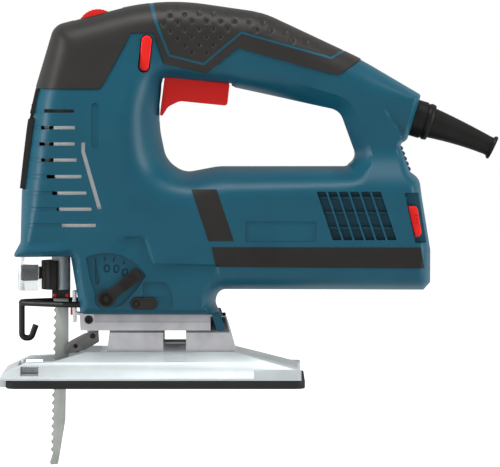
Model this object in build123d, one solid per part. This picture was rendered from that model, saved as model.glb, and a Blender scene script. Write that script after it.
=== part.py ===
from build123d import *
import math
import os

# Corded top-handle jigsaw. Millimetres. X points to the rear, Y to the far side, Z up.
# The sole lies on Z = 0, and the blade stands at X = 0, Y = 0.

# Fits
GAP = 0.4
SNUG = 0.1
RUN = 0.05

# Housing
WALL = 2.6
BODY_HALF = 32.0
GRIP_HALF = 20.0
RUBBER = 1.4
LIP_Z = 69.6
HEAD_BOTTOM = 39.0
MOTOR_BOTTOM = 51.0
MOTOR_TOP = 115.8
REAR_X = 197.2
NOSE_X = -21.0
TOP_Z = 206.4

# Motor and gears
MOTOR_Z = 83.0
MODULE = 1.0
GEAR_TEETH = 50
PINION_TEETH = 9
GEAR_X = 30.0
GEAR_WIDTH = 6.0
WALL_X = 40.0
WALL_T = 6.0
SHAFT_R = 3.5
SHAFT_END_X = 178.0
BEARING_R = 9.5
BEARING_W = 6.0
REAR_BEARING_X = 166.0
STATOR_R = 27.0
STATOR_X = 82.0
STATOR_LENGTH = 40.0
ROTOR_R = 17.0
AIR_GAP = 0.6
FAN_R = 22.0
FAN_X = 54.0
FAN_WIDTH = 10.0
COMMUTATOR_R = 11.0
COMMUTATOR_X = 141.0
COMMUTATOR_LENGTH = 16.0
GEAR_Z = MOTOR_Z + MODULE * (GEAR_TEETH + PINION_TEETH) / 2
AXLE_R = 4.0

# Plunger and blade
STROKE = 20.0
CRANK_R = STROKE / 2
CRANK_PIN_R = 3.0
PLUNGER_R = 5.0
PLUNGER_BOTTOM = 50.5
UPPER_ARM_Z = 141.0
LOWER_ARM_Z = 70.2
ARM_T = 6.0
BUSH_R = 7.5
YOKE_X = 8.0
YOKE_T = 6.0
YOKE_HALF = 9.0
COLLAR_R = 10.5
COLLAR_BOTTOM = 50.7
COLLAR_HEIGHT = 15.3
CLAMP_BOTTOM = 45.8
BLADE_T = 1.3
BLADE_HALF = 4.0
BLADE_TIP = -43.6
TOOTH_PITCH = 4.2
TOOTH_DEPTH = 2.0

# Foot and bevel
FOOT_X = -31.8
FOOT_REAR = 128.0
FOOT_HALF = 38.0
SOLE_T = 4.5
FOOT_RIM = 0.9
RIDGE_Z = 18.6
SADDLE_R = 36.2
SADDLE_HALF = 22.0
SADDLE_FRONT = 25.0
SADDLE_REAR = 93.0
RAIL_HALF = 21.0
RAIL_FRONT = 10.5
RAIL_REAR = 80.0
CLAMP_X = 61.0
CLAMP_HALF = 4.8
WINDOW_HALF = 6.0
SLOT_HALF = 16.0
SLOT_REAR = 21.5
FENCE_X = -15.5
FENCE_WIDTH = 9.6
FENCE_Z = 6.6
FENCE_HEIGHT = 4.8

# Controls
TRIGGER_HALF = 9.5
TRIGGER_TOP = 163.8
TRIGGER_X = 54.6
TRIGGER_REAR = 90.2
TRIGGER_TRAVEL = 5.0
BUTTON_X = 45.3
BUTTON_Z = 175.5
BUTTON_LENGTH = 19.0
BUTTON_WIDTH = 6.6
DIAL_R = 12.0
DIAL_HALF = 4.5
DIAL_X = 20.0
DIAL_Z = 189.2
LEVER_HALF = 20.0
LEVER_T = 4.0
LEVER_TOP = 142.0
LEVER_HUB_HALF = 14.0
LEVER_PIN_R = 1.5
LEVER_PIN_END = 15.2
LEVER_PIN_X = -12.0
LEVER_PIN_Z = 148.5
ORBIT_X = 25.1
ORBIT_Z = 47.4
ORBIT_HUB_R = 4.6
ORBIT_ARM = 21.0
ORBIT_ARM_ANGLE = 38.0
ORBIT_SWING = 69.0
ORBIT_PIN_R = 2.5
SLIDER_X = 38.0
SLIDER_Z = 41.4
SLIDER_LENGTH = 14.0
SLIDER_HEIGHT = 6.4
SLIDER_TRAVEL = 8.0
SLIDER_STEM_X = 5.0
SLIDER_STEM = 4.0
FACE_Y = -29.0
POCKET = 2.6
PAD_T = 4.0
SLEEVE_ANGLE = -20.0
WIRE_R = 1.6
WIRE_HALF = 19.0
WIRE_Z = 43.5

# Rounding of the body's sides
GRIP_FLAT = 10.0
GRIP_TAPER = 45
TRUNK_FLAT = 20.0
TRUNK_EDGE = 28.0
TRUNK_TAPER = 16
EDGE_TAPER = 42
# Wide rolls round the hand opening and down the nose: distance from the edge, half width there and slope
OPENING_ROLL = [(1.0, 12.0, 21.0), (3.2, 20.4, 41.8), (6.0, 26.0, 63.4)]
FRONT_ROLL = [(1.0, 14.0, 17.0), (2.2, 21.8, 41.8)]

# Smaller places
BRUSH_HALF = 3.5
BRUSH_END = 24.0
SWITCH_Z = 176.4
LEVER_HUB_R = 3.0
ORBIT_ARM_HALF = 3.2
CLIP_FLOOR = -25.0
CORD_CLAMP_X = 166.0
CORD_CLAMP_Z = 136.0
SLEEVE_X = 187.5
SLEEVE_Z = 142.5
SLEEVE_NECK_R = 7.0
SLEEVE_COLLAR_R = 10.5
SLEEVE_COLLAR_END = 8.0
SLEEVE_END_R = 5.8
SLEEVE_END = 47.0
SLEEVE_FLANGE_T = 3.0
CORD_R = 3.6
BOSS_R = 3.6
SCREW_TIP = 10.0
SCREW_SEAT = 10.0
BEVEL_GAP = 0.3
DIAL_AXLE_R = 1.5
DIAL_AXLE_END = 9.0
DIAL_NOTCHES = 24
ORBIT_T = 4.2
ROOT_SHARE = 0.21
TIP_SHARE = 0.09
PINION_X = 29.0
PINION_WIDTH = 8.0
PINION_BORE = 2.2
FAN_HUB_R = 8.0
FAN_VANES = 14
CAST_HALF = 16.0
CAST_ARM_HALF = 10.0
GEAR_HOLES = 6
GEAR_HOLE_PCR = 16.5
COLLAR_RIBS = 9
SHIELD_X = -22.4
ARM_PIN_X = 17.0
ARM_PIN_Z = 25.8
ARM_PIN_R = 1.4
ROLLER_R = 3.6
ROLLER_PIN_R = 1.2
ROLLER_X = BLADE_HALF + 0.3 + ROLLER_R
ROLLER_Z = 20.3
RAIL_SCREW_R = 2.2
SADDLE_WALL = 2.4
SOLE_X = -28.0
SOLE_CORNER = 6.0
CLAMP_SWEEP_R = 28.8
CLAMP_BLOCK_HALF = 8.0
CLAMP_SCREW_R = 2.5
CLAMP_SCREW_TOP = 46.0
CLIP_FACE = [(185.0, 97.0), (191.5, 97.0), (193.5, 79.5), (188.0, 79.5)]
SCREW_R = 1.5
SCREW_HEAD_R = 2.8
SCREW_PLACES = [(-15, 90), (30, 157), (118, 174), (177, 112), (188, 58), (69, 57.5)]
VENT_ROWS = 8
VENT_STRAIGHT = 3
VENT_TOP_Z = 146.4
VENT_PITCH = 8.75
VENT_SHIFT = 2.8
VENT_X = -10.6
VENT_LENGTH = 18.0
VENT_HEIGHT = 1.7
LOUVRE_COLUMNS = 6
LOUVRE_TOP_Z = 103.9
LOUVRE_BOTTOM_Z = 78.3
LOUVRE_PITCH = 5.8
LOUVRE_LEAN = 8.5
LOUVRE_X = 136.1
LOUVRE_WIDTH = 4.7

# Side outline of the body: X, Z and corner radius
BODY_OUTLINE = [
    (NOSE_X - 3.6, LIP_Z, 2), (NOSE_X - 0.3, LIP_Z + 5.9, 3), (NOSE_X + 0.1, 103, 30), (-14, 155, 60),
    (-3.1, 191.7, 14), (53.1, TOP_Z, 120), (107.7, 198.1, 50), (160, 173.6, 150), (192.3, 154.6, 1.5),
    (185, 130.5, 4), (181, 127.8, 1.5), (186.4, 113.6, 1), (191.5, 110, 7), (192.8, 100, 30),
    (REAR_X, 72, 10), (REAR_X, MOTOR_BOTTOM, 6), (84.5, MOTOR_BOTTOM, 5), (82.2, 44, 6),
    (85.5, HEAD_BOTTOM, 1), (RAIL_FRONT, HEAD_BOTTOM, 2.5), (5.2, LIP_Z, 0.5),
]
HAND_OPENING = [
    (53.4, 157, 3), (52.3, 138, 20), (56.5, 120.5, 10), (66, MOTOR_TOP - 2, 8), (152, MOTOR_TOP, 4),
    (158, 120, 6), (148.5, 146, 9), (94, 158.8, 8),
]
WIDE_ZONE = [(-40, 20), (210, 20), (210, 124), (150, 122), (58, 120), (44, 168), (-40, 168)]
GRIP_ZONE = [
    (-30, 158), (21, 158), (24, 162), (38, 187), (50, 187), (55.5, 171), (78, 166), (94.5, 179.2),
    (138, 167), (147.5, 164.6), (162, 176), (150, 215), (-30, 215),
]
BAND_ZONE = [(80.6, 74.5), (191, 74), (193, 63), (83, 64)]


def outline(corners):
    """Face with rounded corners from X, Z, radius rows."""
    points = [(x, z) for x, z, radius in corners]
    radii = [radius for x, z, radius in corners]
    return make_face(FilletPolyline(*points, radius=radii, close=True))


def polygon(points):
    return make_face(Polyline(*points, close=True))


def slab(face, near, far, taper=0):
    """Side-view face pushed from Y = -near out to Y = -far."""
    return extrude(Plane.XZ.offset(near) * face, amount=far - near, taper=taper)


def through(face, half):
    """Side-view face pushed the same way to both sides."""
    return slab(face, -half, half)


def across(face, x_from, x_to):
    """Front-view face of Y, Z points pushed along X."""
    return extrude(Plane.YZ.offset(x_from) * face, amount=x_to - x_from)


def block(x0, x1, y0, y1, z0, z1):
    return Pos((x0 + x1) / 2, (y0 + y1) / 2, (z0 + z1) / 2) * Box(x1 - x0, y1 - y0, z1 - z0)


def rod_x(radius, x0, x1, y=0.0, z=0.0):
    return Pos((x0 + x1) / 2, y, z) * Rot(0, 90, 0) * Cylinder(radius, x1 - x0)


def rod_y(radius, y0, y1, x, z):
    return Pos(x, (y0 + y1) / 2, z) * Rot(90, 0, 0) * Cylinder(radius, y1 - y0)


def rod_z(radius, z0, z1, x=0.0, y=0.0):
    return Pos(x, y, (z0 + z1) / 2) * Cylinder(radius, z1 - z0)


def tube_x(outer, inner, x0, x1, y=0.0, z=0.0):
    return rod_x(outer, x0, x1, y, z) - rod_x(inner, x0 - 1, x1 + 1, y, z)


def tube_z(outer, inner, z0, z1, x=0.0, y=0.0):
    return rod_z(outer, z0, z1, x, y) - rod_z(inner, z0 - 1, z1 + 1, x, y)


def both_sides(shape):
    return shape + mirror(shape, about=Plane.XZ)


def body_half(inset):
    """Near half of the body, drawn in all round by inset."""
    side = outline(BODY_OUTLINE)
    hole = outline(HAND_OPENING)
    zone = polygon(WIDE_ZONE)
    if inset:
        side = offset(side, amount=-inset)
        hole = offset(hole, amount=inset)
        zone = offset(zone, amount=-inset)
    full = side - hole
    wide = full & zone
    grip = slab(full, 0, GRIP_FLAT) + slab(full, GRIP_FLAT, GRIP_HALF - inset, GRIP_TAPER)
    trunk = slab(wide, 0, TRUNK_FLAT) + slab(wide, TRUNK_FLAT, TRUNK_EDGE - inset, TRUNK_TAPER)
    drawn_in = (TRUNK_EDGE - inset - TRUNK_FLAT) * math.tan(math.radians(TRUNK_TAPER))
    edge = slab(offset(wide, amount=-drawn_in), TRUNK_EDGE - inset, BODY_HALF - inset, EDGE_TAPER)
    nose = [(x, z) for x, z, radius in BODY_OUTLINE[1:5]]
    nose += [(NOSE_X - 40, nose[-1][1]), (NOSE_X - 40, nose[0][1])]
    out = BODY_HALF + 1 - inset
    rolls = [slab(offset(hole, amount=away), half - inset, out, -slope) for away, half, slope in OPENING_ROLL]
    front = polygon(nose)
    for away, half, slope in FRONT_ROLL:
        rolls.append(slab(offset(front, amount=away + inset), half - inset, out, -slope))
    return (grip + trunk + edge) - rolls


def capsule(x, z, length, width):
    """Upright side-view face with round ends."""
    return Pos(x, z) * SlotOverall(length, width, rotation=90)


def lever_face(grow):
    """Side view of the eject lever's wide plate, grown by a clearance."""
    plate = [(NOSE_X, 105.1), (-19.2, 121.2), (-17.3, 136.7), (-16.5, LEVER_TOP)]
    back = [(x + LEVER_T, z) for x, z in reversed(plate)]
    face = polygon(plate + back)
    return offset(face, amount=grow) if grow else face


def lever_hub_face(grow):
    """Side view of the eject lever's neck and hub, grown by a clearance."""
    foot = LEVER_TOP - 4
    neck = [(-17, foot), (-13, foot), (LEVER_PIN_X + LEVER_HUB_R, LEVER_PIN_Z)]
    neck.append((LEVER_PIN_X - LEVER_HUB_R, LEVER_PIN_Z))
    face = polygon(neck) + Pos(LEVER_PIN_X, LEVER_PIN_Z) * Circle(LEVER_HUB_R)
    return offset(face, amount=grow) if grow else face


def orbit_face(grow, angle):
    """Side view of the orbit lever, turned to an angle and grown by a clearance."""
    arm = Pos(ORBIT_ARM / 2, 0) * SlotOverall(ORBIT_ARM + 2 * ORBIT_ARM_HALF, 2 * (ORBIT_ARM_HALF + grow))
    return Pos(ORBIT_X, ORBIT_Z) * (Rot(0, 0, angle) * arm + Circle(ORBIT_HUB_R + grow))


def orbit_pocket_face():
    """Side view of the quarter-round pocket that the orbit lever sweeps."""
    start = orbit_face(GAP, ORBIT_ARM_ANGLE)
    end = orbit_face(GAP, ORBIT_ARM_ANGLE + ORBIT_SWING)
    reach = ORBIT_ARM + ORBIT_ARM_HALF + GAP
    first = math.radians(ORBIT_ARM_ANGLE)
    last = math.radians(ORBIT_ARM_ANGLE + ORBIT_SWING)
    far = 2 * reach
    corners = [(0, 0), (far * math.cos(first), far * math.sin(first))]
    corners += [(far * math.cos((first + last) / 2), far * math.sin((first + last) / 2))]
    corners += [(far * math.cos(last), far * math.sin(last))]
    sector = polygon(corners) & Circle(reach)
    return start + end + Pos(ORBIT_X, ORBIT_Z) * sector


def sleeve_place(shape):
    """Puts a piece that runs along X from the origin onto the cord exit."""
    return Pos(SLEEVE_X, 0, SLEEVE_Z) * Rot(0, -SLEEVE_ANGLE, 0) * shape


def rail_arch(radius):
    """Cylinder about the bevel axis, along the whole foot."""
    return rod_x(radius, FOOT_X - 10, FOOT_REAR + 10)


def vents():
    """Cooling slots of the near side: the front rows and the leaning rear louvres."""
    cuts = []
    for row in range(VENT_ROWS):
        z = VENT_TOP_Z - row * VENT_PITCH
        shift = max(0, row - VENT_STRAIGHT) * VENT_SHIFT
        x0 = VENT_X + shift
        cuts.append(block(x0, x0 + VENT_LENGTH, -BODY_HALF - 5, -GRIP_HALF + 2, z, z + VENT_HEIGHT))
    for column in range(LOUVRE_COLUMNS):
        x0 = LOUVRE_X + column * LOUVRE_PITCH
        foot = x0 + LOUVRE_LEAN
        slot = [(x0, LOUVRE_TOP_Z), (x0 + LOUVRE_WIDTH, LOUVRE_TOP_Z)]
        slot += [(foot + LOUVRE_WIDTH, LOUVRE_BOTTOM_Z), (foot, LOUVRE_BOTTOM_Z)]
        cuts.append(slab(polygon(slot), GRIP_HALF + 4, BODY_HALF + 5))
    return cuts


def switch_box(grow):
    return block(60 - grow, 92 + grow, -8.5 - grow, 8.5 + grow, SWITCH_Z - grow, SWITCH_Z + 17 + grow)


def trigger_stem(grow, top):
    """Part of the trigger that reaches up to the switch."""
    half = TRIGGER_HALF - 1.5 + grow
    return block(TRIGGER_X + 5.4 - grow, TRIGGER_REAR - 4.2 + grow, -half, half, TRIGGER_TOP - 5.8, top)


def brush_box(grow):
    """Brass tube of the near brush, lying along Y."""
    middle = COMMUTATOR_X + COMMUTATOR_LENGTH / 2
    half = BRUSH_HALF + 1.5 + grow
    inner = -COMMUTATOR_R - 1.5
    return block(middle - half, middle + half, -BRUSH_END - grow, inner, MOTOR_Z - half, MOTOR_Z + half)


def inner_supports(room):
    """Ribs, shelves and bosses moulded inside the near shell."""
    far = -BODY_HALF
    ribs = []
    for x in (STATOR_X + 4, STATOR_X + STATOR_LENGTH - 8):
        ribs.append(block(x, x + 4, far, 0, 45, 125) - rod_x(STATOR_R + SNUG, x - 1, x + 5, 0, MOTOR_Z))
    bearing = rod_x(BEARING_R + SNUG, REAR_BEARING_X - 1, REAR_BEARING_X + BEARING_W + 1, 0, MOTOR_Z)
    ribs.append(block(REAR_BEARING_X, REAR_BEARING_X + BEARING_W, far, 0, 45, 118) - bearing)
    ring_x = COMMUTATOR_X + 2
    ring = block(ring_x, COMMUTATOR_X + COMMUTATOR_LENGTH - 2, far, 0, 45, 118)
    ring -= rod_x(COMMUTATOR_R + 4, COMMUTATOR_X, COMMUTATOR_X + COMMUTATOR_LENGTH, 0, MOTOR_Z)
    ribs.append(ring - brush_box(SNUG))
    back = WALL_X + WALL_T
    eye = rod_x(BEARING_R + 4, back - 1, back + 4, 0, MOTOR_Z)
    ribs.append(block(back, back + 3, far, 0, 55, 110) - eye)
    for x in (62, 84):
        ribs.append(block(x, x + 4, far, 0, SWITCH_Z - 4, 210) - switch_box(SNUG))
    ribs.append(block(CORD_CLAMP_X, CORD_CLAMP_X + 12, far, 0, 120, CORD_CLAMP_Z))
    dial_boss = block(DIAL_X - 4, DIAL_X + 4, -9, -DIAL_HALF - 0.8, DIAL_Z - 6, 215)
    ribs.append(dial_boss)
    ribs.append(block(NOSE_X, -9.4, -LEVER_HALF - 4, 0, 101, 156))
    for x, z in SCREW_PLACES:
        ribs.append(rod_y(BOSS_R, far, 0, x, z))
    return Part() + [rib & room for rib in ribs]


def control_pads(room):
    """Thick floor behind the orbit lever, the blower slider and the rear clip."""
    floor = FACE_Y + POCKET
    pads = block(RAIL_FRONT - 4, 64, -BODY_HALF, floor + PAD_T, HEAD_BOTTOM, 75)
    pads += block(178, REAR_X, -BODY_HALF, CLIP_FLOOR + PAD_T, 70, 108)
    return pads & room


def shared_cuts():
    """Openings that cross the middle of the body and so cut both shells."""
    half = TRIGGER_HALF + GAP
    top = TRIGGER_TOP + TRIGGER_TRAVEL + GAP
    cuts = [block(TRIGGER_X - GAP, TRIGGER_REAR + GAP, -half, half, TRIGGER_TOP - 14, top)]
    cuts.append(trigger_stem(GAP, SWITCH_Z))
    cuts.append(block(-9.2, 8.5, -10.6, 10.6, LIP_Z - 5, LIP_Z + WALL + 0.6))
    reach = DIAL_R + 1
    slot = DIAL_HALF + GAP
    cuts.append(block(DIAL_X - reach, DIAL_X + reach, -slot, slot, DIAL_Z - reach, TOP_Z + 5))
    cuts.append(rod_y(DIAL_AXLE_R + SNUG, -DIAL_AXLE_END - SNUG, DIAL_AXLE_END + SNUG, DIAL_X, DIAL_Z))
    wide = LEVER_HALF + GAP
    cuts.append(through(lever_face(GAP), wide))
    cuts.append(through(lever_hub_face(GAP), LEVER_HUB_HALF + GAP))
    front = block(NOSE_X - 10, NOSE_X + 2, -wide, wide, 104.7, LEVER_TOP + 3)
    cuts.append(front & through(lever_face(LEVER_T), wide))
    cuts.append(block(NOSE_X, -12.1, -wide, wide, LEVER_TOP - 1, LEVER_TOP + 2.6))
    cuts.append(rod_y(LEVER_PIN_R + SNUG, -LEVER_PIN_END, LEVER_PIN_END, LEVER_PIN_X, LEVER_PIN_Z))
    cuts.append(sleeve_place(rod_x(SLEEVE_NECK_R + SNUG, -9, 20)))
    cuts.append(block(CORD_CLAMP_X - 1, 186, -10, 10, CORD_CLAMP_Z, CORD_CLAMP_Z + 14))
    for side in (-1, 1):
        cuts.append(rod_x(WIRE_R + SNUG, 0, 20, side * WIRE_HALF, WIRE_Z))
        cuts.append(rod_z(SCREW_R + SNUG, 120, CORD_CLAMP_Z + 1, CORD_CLAMP_X + 6, side * 5.5))
    cuts.append(rod_z(CLAMP_SCREW_R + SNUG, HEAD_BOTTOM - 5, CLAMP_SCREW_TOP + 1, CLAMP_X))
    return cuts


def screw_cuts():
    """Holes for the housing screws: threads in the near shell, heads in the far one."""
    cuts = []
    for x, z in SCREW_PLACES:
        cuts.append(rod_y(SCREW_R + SNUG, -SCREW_TIP - 0.5, SCREW_SEAT, x, z))
        cuts.append(rod_y(SCREW_HEAD_R + SNUG, SCREW_SEAT, BODY_HALF + 10, x, z))
    return cuts


def near_side_cuts():
    """Pockets and holes for the controls on the near side."""
    floor = -(FACE_Y + POCKET)
    out = BODY_HALF + 10
    cuts = [slab(orbit_pocket_face(), floor, out)]
    pin = ORBIT_PIN_R + RUN
    cuts.append(rod_y(pin, -floor - 1, -floor + PAD_T + 1, ORBIT_X, ORBIT_Z))
    x1 = SLIDER_X + SLIDER_LENGTH + SLIDER_TRAVEL + GAP
    top = SLIDER_Z + SLIDER_HEIGHT + GAP
    cuts.append(block(SLIDER_X - GAP, x1, -out, -floor, SLIDER_Z - GAP, top))
    stem = SLIDER_X + SLIDER_STEM_X
    stem_end = stem + SLIDER_STEM + SLIDER_TRAVEL + GAP
    cuts.append(block(stem - GAP, stem_end, -floor - 1, 0, SLIDER_Z + 1.2, top - 1.6))
    hole = capsule(BUTTON_X, BUTTON_Z, BUTTON_LENGTH + 2 * GAP, BUTTON_WIDTH + 2 * GAP)
    cuts.append(slab(hole, 7, out))
    cuts.append(slab(offset(polygon(CLIP_FACE), amount=GAP), -CLIP_FLOOR, out))
    return cuts


def housing():
    """Both shells, their rubber grips and the dark side bands."""
    outer = body_half(0)
    room = body_half(WALL)
    under_rubber = body_half(RUBBER)
    grip_zone = slab(polygon(GRIP_ZONE), 0, BODY_HALF)
    band_zone = slab(polygon(BAND_ZONE), TRUNK_FLAT, BODY_HALF + 5)
    sunk = (grip_zone + band_zone) - under_rubber
    wedge = block(RAIL_REAR, RAIL_REAR + 6.5, -RAIL_HALF, 0, 20, HEAD_BOTTOM)
    wedge -= rail_arch(SADDLE_R + BEVEL_GAP)
    shell = (outer - sunk) - room
    shell += inner_supports(room)
    shell += wedge
    shell -= vents()
    crossing = shared_cuts()
    bolts = screw_cuts()
    pockets = near_side_cuts()
    near = (shell + control_pads(room)) - (crossing + bolts + pockets)
    far = mirror(shell, about=Plane.XZ) - (crossing + bolts)
    rubber = (outer - under_rubber) & grip_zone
    far_rubber = mirror(rubber, about=Plane.XZ) - (crossing + bolts)
    rubber -= crossing + pockets
    band = (outer - under_rubber) & band_zone
    return {
        "housing_left": near, "housing_right": far, "grip_left": rubber, "grip_right": far_rubber,
        "side_band_left": band, "side_band_right": mirror(band, about=Plane.XZ),
    }


def housing_screws():
    screws = []
    for x, z in SCREW_PLACES:
        screw = rod_y(SCREW_R, -SCREW_TIP, SCREW_SEAT, x, z)
        head = rod_y(SCREW_HEAD_R, SCREW_SEAT, SCREW_SEAT + 2.5, x, z)
        drive = rod_y(1.2, SCREW_SEAT + 1.2, SCREW_SEAT + 3, x, z)
        screws.append(screw + head - drive)
    return Compound(children=screws)


def controls():
    """Everything that the hand works."""
    top = TRIGGER_TOP
    finger = [(TRIGGER_X + 0.7, top), (TRIGGER_REAR, top - 3.7), (TRIGGER_REAR - 1.5, top - 15.2)]
    finger += [(TRIGGER_X + 8.3, top - 12.5), (TRIGGER_X + 2.4, top - 16.8), (TRIGGER_X + 0.4, top - 20.4)]
    trigger = through(polygon(finger + [(TRIGGER_X, top - 19.9)]), TRIGGER_HALF)
    trigger += trigger_stem(0, SWITCH_Z - TRIGGER_TRAVEL - GAP)
    button = slab(capsule(BUTTON_X, BUTTON_Z, BUTTON_LENGTH, BUTTON_WIDTH), 8, GRIP_HALF + 1.5)
    dial = rod_y(DIAL_R, -DIAL_HALF, DIAL_HALF, DIAL_X, DIAL_Z)
    for notch in range(DIAL_NOTCHES):
        angle = math.radians(360 / DIAL_NOTCHES * notch)
        x = DIAL_X + DIAL_R * math.cos(angle)
        dial -= rod_y(0.6, -DIAL_HALF - 1, DIAL_HALF + 1, x, DIAL_Z + DIAL_R * math.sin(angle))
    dial -= rod_y(DIAL_AXLE_R + RUN, -DIAL_HALF - 1, DIAL_HALF + 1, DIAL_X, DIAL_Z)
    lever = through(lever_face(0), LEVER_HALF) + through(lever_hub_face(0), LEVER_HUB_HALF)
    lever -= rod_y(LEVER_PIN_R + RUN, -LEVER_HALF, LEVER_HALF, LEVER_PIN_X, LEVER_PIN_Z)
    floor = -(FACE_Y + POCKET)
    orbit = slab(orbit_face(0, ORBIT_ARM_ANGLE), floor + 0.3, floor + ORBIT_T)
    orbit += rod_y(ORBIT_PIN_R, -floor - 1, -floor + PAD_T, ORBIT_X, ORBIT_Z)
    bar_x = SLIDER_X + SLIDER_LENGTH / 2
    bar_z = SLIDER_Z + SLIDER_HEIGHT / 2
    bar = Pos(bar_x, bar_z) * SlotOverall(SLIDER_LENGTH, SLIDER_HEIGHT)
    slider = slab(bar, floor + 0.3, floor + ORBIT_T)
    stem = SLIDER_X + SLIDER_STEM_X
    slider += block(stem, stem + SLIDER_STEM, -floor - 1, -floor + PAD_T, bar_z - 1.2, bar_z + 1.2)
    clip = slab(polygon(CLIP_FACE), -CLIP_FLOOR + 0.3, BODY_HALF - 1)
    return {
        "trigger": trigger, "lock_button": button, "speed_dial": dial,
        "dial_axle": rod_y(DIAL_AXLE_R, -DIAL_AXLE_END, DIAL_AXLE_END, DIAL_X, DIAL_Z),
        "eject_lever": lever,
        "eject_pin": rod_y(LEVER_PIN_R, -LEVER_PIN_END, LEVER_PIN_END, LEVER_PIN_X, LEVER_PIN_Z),
        "orbit_lever": orbit, "blower_slider": slider, "key_clip": clip, "switch_module": switch_box(0),
    }


def cord_entry():
    """Rubber sleeve at the cord exit, and the bar that would hold the cord."""
    end = SLEEVE_END - SLEEVE_FLANGE_T
    profile = [(-6, SLEEVE_NECK_R), (2, SLEEVE_NECK_R), (2, SLEEVE_COLLAR_R)]
    profile += [(SLEEVE_COLLAR_END, SLEEVE_COLLAR_R), (SLEEVE_COLLAR_END, SLEEVE_COLLAR_R - 2.1)]
    profile += [(end, SLEEVE_END_R), (end, SLEEVE_END_R + 0.8)]
    profile += [(SLEEVE_END, SLEEVE_END_R + 0.8), (SLEEVE_END, CORD_R), (-6, CORD_R)]
    sleeve = revolve(Plane.XZ * polygon(profile), axis=Axis.X)
    bar = block(CORD_CLAMP_X, CORD_CLAMP_X + 12, -8.5, 8.5, CORD_CLAMP_Z, CORD_CLAMP_Z + 3)
    screws = []
    for side in (-1, 1):
        x = CORD_CLAMP_X + 6
        bar -= rod_z(SCREW_R + SNUG, CORD_CLAMP_Z - 1, CORD_CLAMP_Z + 4, x, side * 5.5)
        screw = rod_z(SCREW_R, CORD_CLAMP_Z - 8, CORD_CLAMP_Z + 3, x, side * 5.5)
        screws.append(screw + rod_z(SCREW_HEAD_R, CORD_CLAMP_Z + 3, CORD_CLAMP_Z + 5, x, side * 5.5))
    screws = Compound(children=screws)
    return {"cord_sleeve": sleeve_place(sleeve), "cord_clamp": bar, "cord_clamp_screws": screws}


def gear_face(teeth, first_angle):
    """Spur gear outline with straight-sided teeth, about the origin."""
    pitch_r = MODULE * teeth / 2
    root_r = pitch_r - 1.25 * MODULE
    tip_r = pitch_r + MODULE
    step = 360 / teeth
    points = []
    for tooth in range(teeth):
        centre = first_angle + tooth * step
        flanks = [(root_r, -ROOT_SHARE), (tip_r, -TIP_SHARE), (tip_r, TIP_SHARE), (root_r, ROOT_SHARE)]
        for radius, share in flanks:
            angle = math.radians(centre + share * step)
            points.append((radius * math.cos(angle), radius * math.sin(angle)))
    return polygon(points)


def motor():
    """Universal motor along X: stator, armature, brushes and bearings."""
    bore = ROTOR_R + AIR_GAP
    end = STATOR_X + STATOR_LENGTH
    stator = tube_x(STATOR_R, bore, STATOR_X, end, 0, MOTOR_Z)
    coil_r = STATOR_R - 2
    coils = [
        tube_x(coil_r, bore + 1.5, STATOR_X - 7, STATOR_X, 0, MOTOR_Z),
        tube_x(coil_r, bore + 1.5, end, end + 7, 0, MOTOR_Z),
    ]
    shaft = rod_x(SHAFT_R, PINION_X, SHAFT_END_X, 0, MOTOR_Z)
    pinion_face = gear_face(PINION_TEETH, 90 + 180 / PINION_TEETH)
    pinion_end = PINION_X + PINION_WIDTH
    pinion = Pos(0, 0, MOTOR_Z) * across(pinion_face - Circle(PINION_BORE), PINION_X, pinion_end)
    shaft -= tube_x(SHAFT_R + 1, PINION_BORE, PINION_X - 1, pinion_end, 0, MOTOR_Z)
    windings = [
        tube_x(ROTOR_R - 2.5, SHAFT_R, STATOR_X - 6, STATOR_X, 0, MOTOR_Z),
        tube_x(ROTOR_R - 2.5, SHAFT_R, end, end + 8, 0, MOTOR_Z),
    ]
    fan = tube_x(FAN_R, SHAFT_R, FAN_X, FAN_X + 2, 0, MOTOR_Z)
    fan += tube_x(FAN_HUB_R, SHAFT_R, FAN_X, FAN_X + FAN_WIDTH, 0, MOTOR_Z)
    for vane in range(FAN_VANES):
        vane_box = block(FAN_X + 1, FAN_X + FAN_WIDTH, -0.8, 0.8, FAN_HUB_R - 1, FAN_R - 0.5)
        fan += Pos(0, 0, MOTOR_Z) * Rot(360 / FAN_VANES * vane, 0, 0) * vane_box
    commutator = tube_x(
        COMMUTATOR_R, SHAFT_R, COMMUTATOR_X, COMMUTATOR_X + COMMUTATOR_LENGTH, 0, MOTOR_Z)
    middle = COMMUTATOR_X + COMMUTATOR_LENGTH / 2
    half = BRUSH_HALF
    tip = -COMMUTATOR_R - 0.3
    brush = block(middle - half, middle + half, -BRUSH_END + 6, tip, MOTOR_Z - half, MOTOR_Z + half)
    brush -= rod_x(COMMUTATOR_R + 0.3, middle - half - 1, middle + half + 1, 0, MOTOR_Z)
    room = half + SNUG
    inside = block(middle - room, middle + room, -BRUSH_END + 2, 0, MOTOR_Z - room, MOTOR_Z + room)
    holder = brush_box(0) - inside
    rear = REAR_BEARING_X
    return {
        "stator": stator, "field_coils": Compound(children=coils), "armature_shaft": shaft,
        "pinion": pinion,
        "rotor_stack": tube_x(ROTOR_R, SHAFT_R, STATOR_X, end, 0, MOTOR_Z),
        "rotor_windings": Compound(children=windings), "fan": fan, "commutator": commutator,
        "front_bearing": tube_x(BEARING_R, SHAFT_R + RUN, WALL_X, WALL_X + BEARING_W, 0, MOTOR_Z),
        "rear_bearing": tube_x(BEARING_R, SHAFT_R + RUN, rear, rear + BEARING_W, 0, MOTOR_Z),
        "brushes": Compound(children=[brush, mirror(brush, about=Plane.XZ)]),
        "brush_holders": Compound(children=[holder, mirror(holder, about=Plane.XZ)]),
    }


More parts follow.
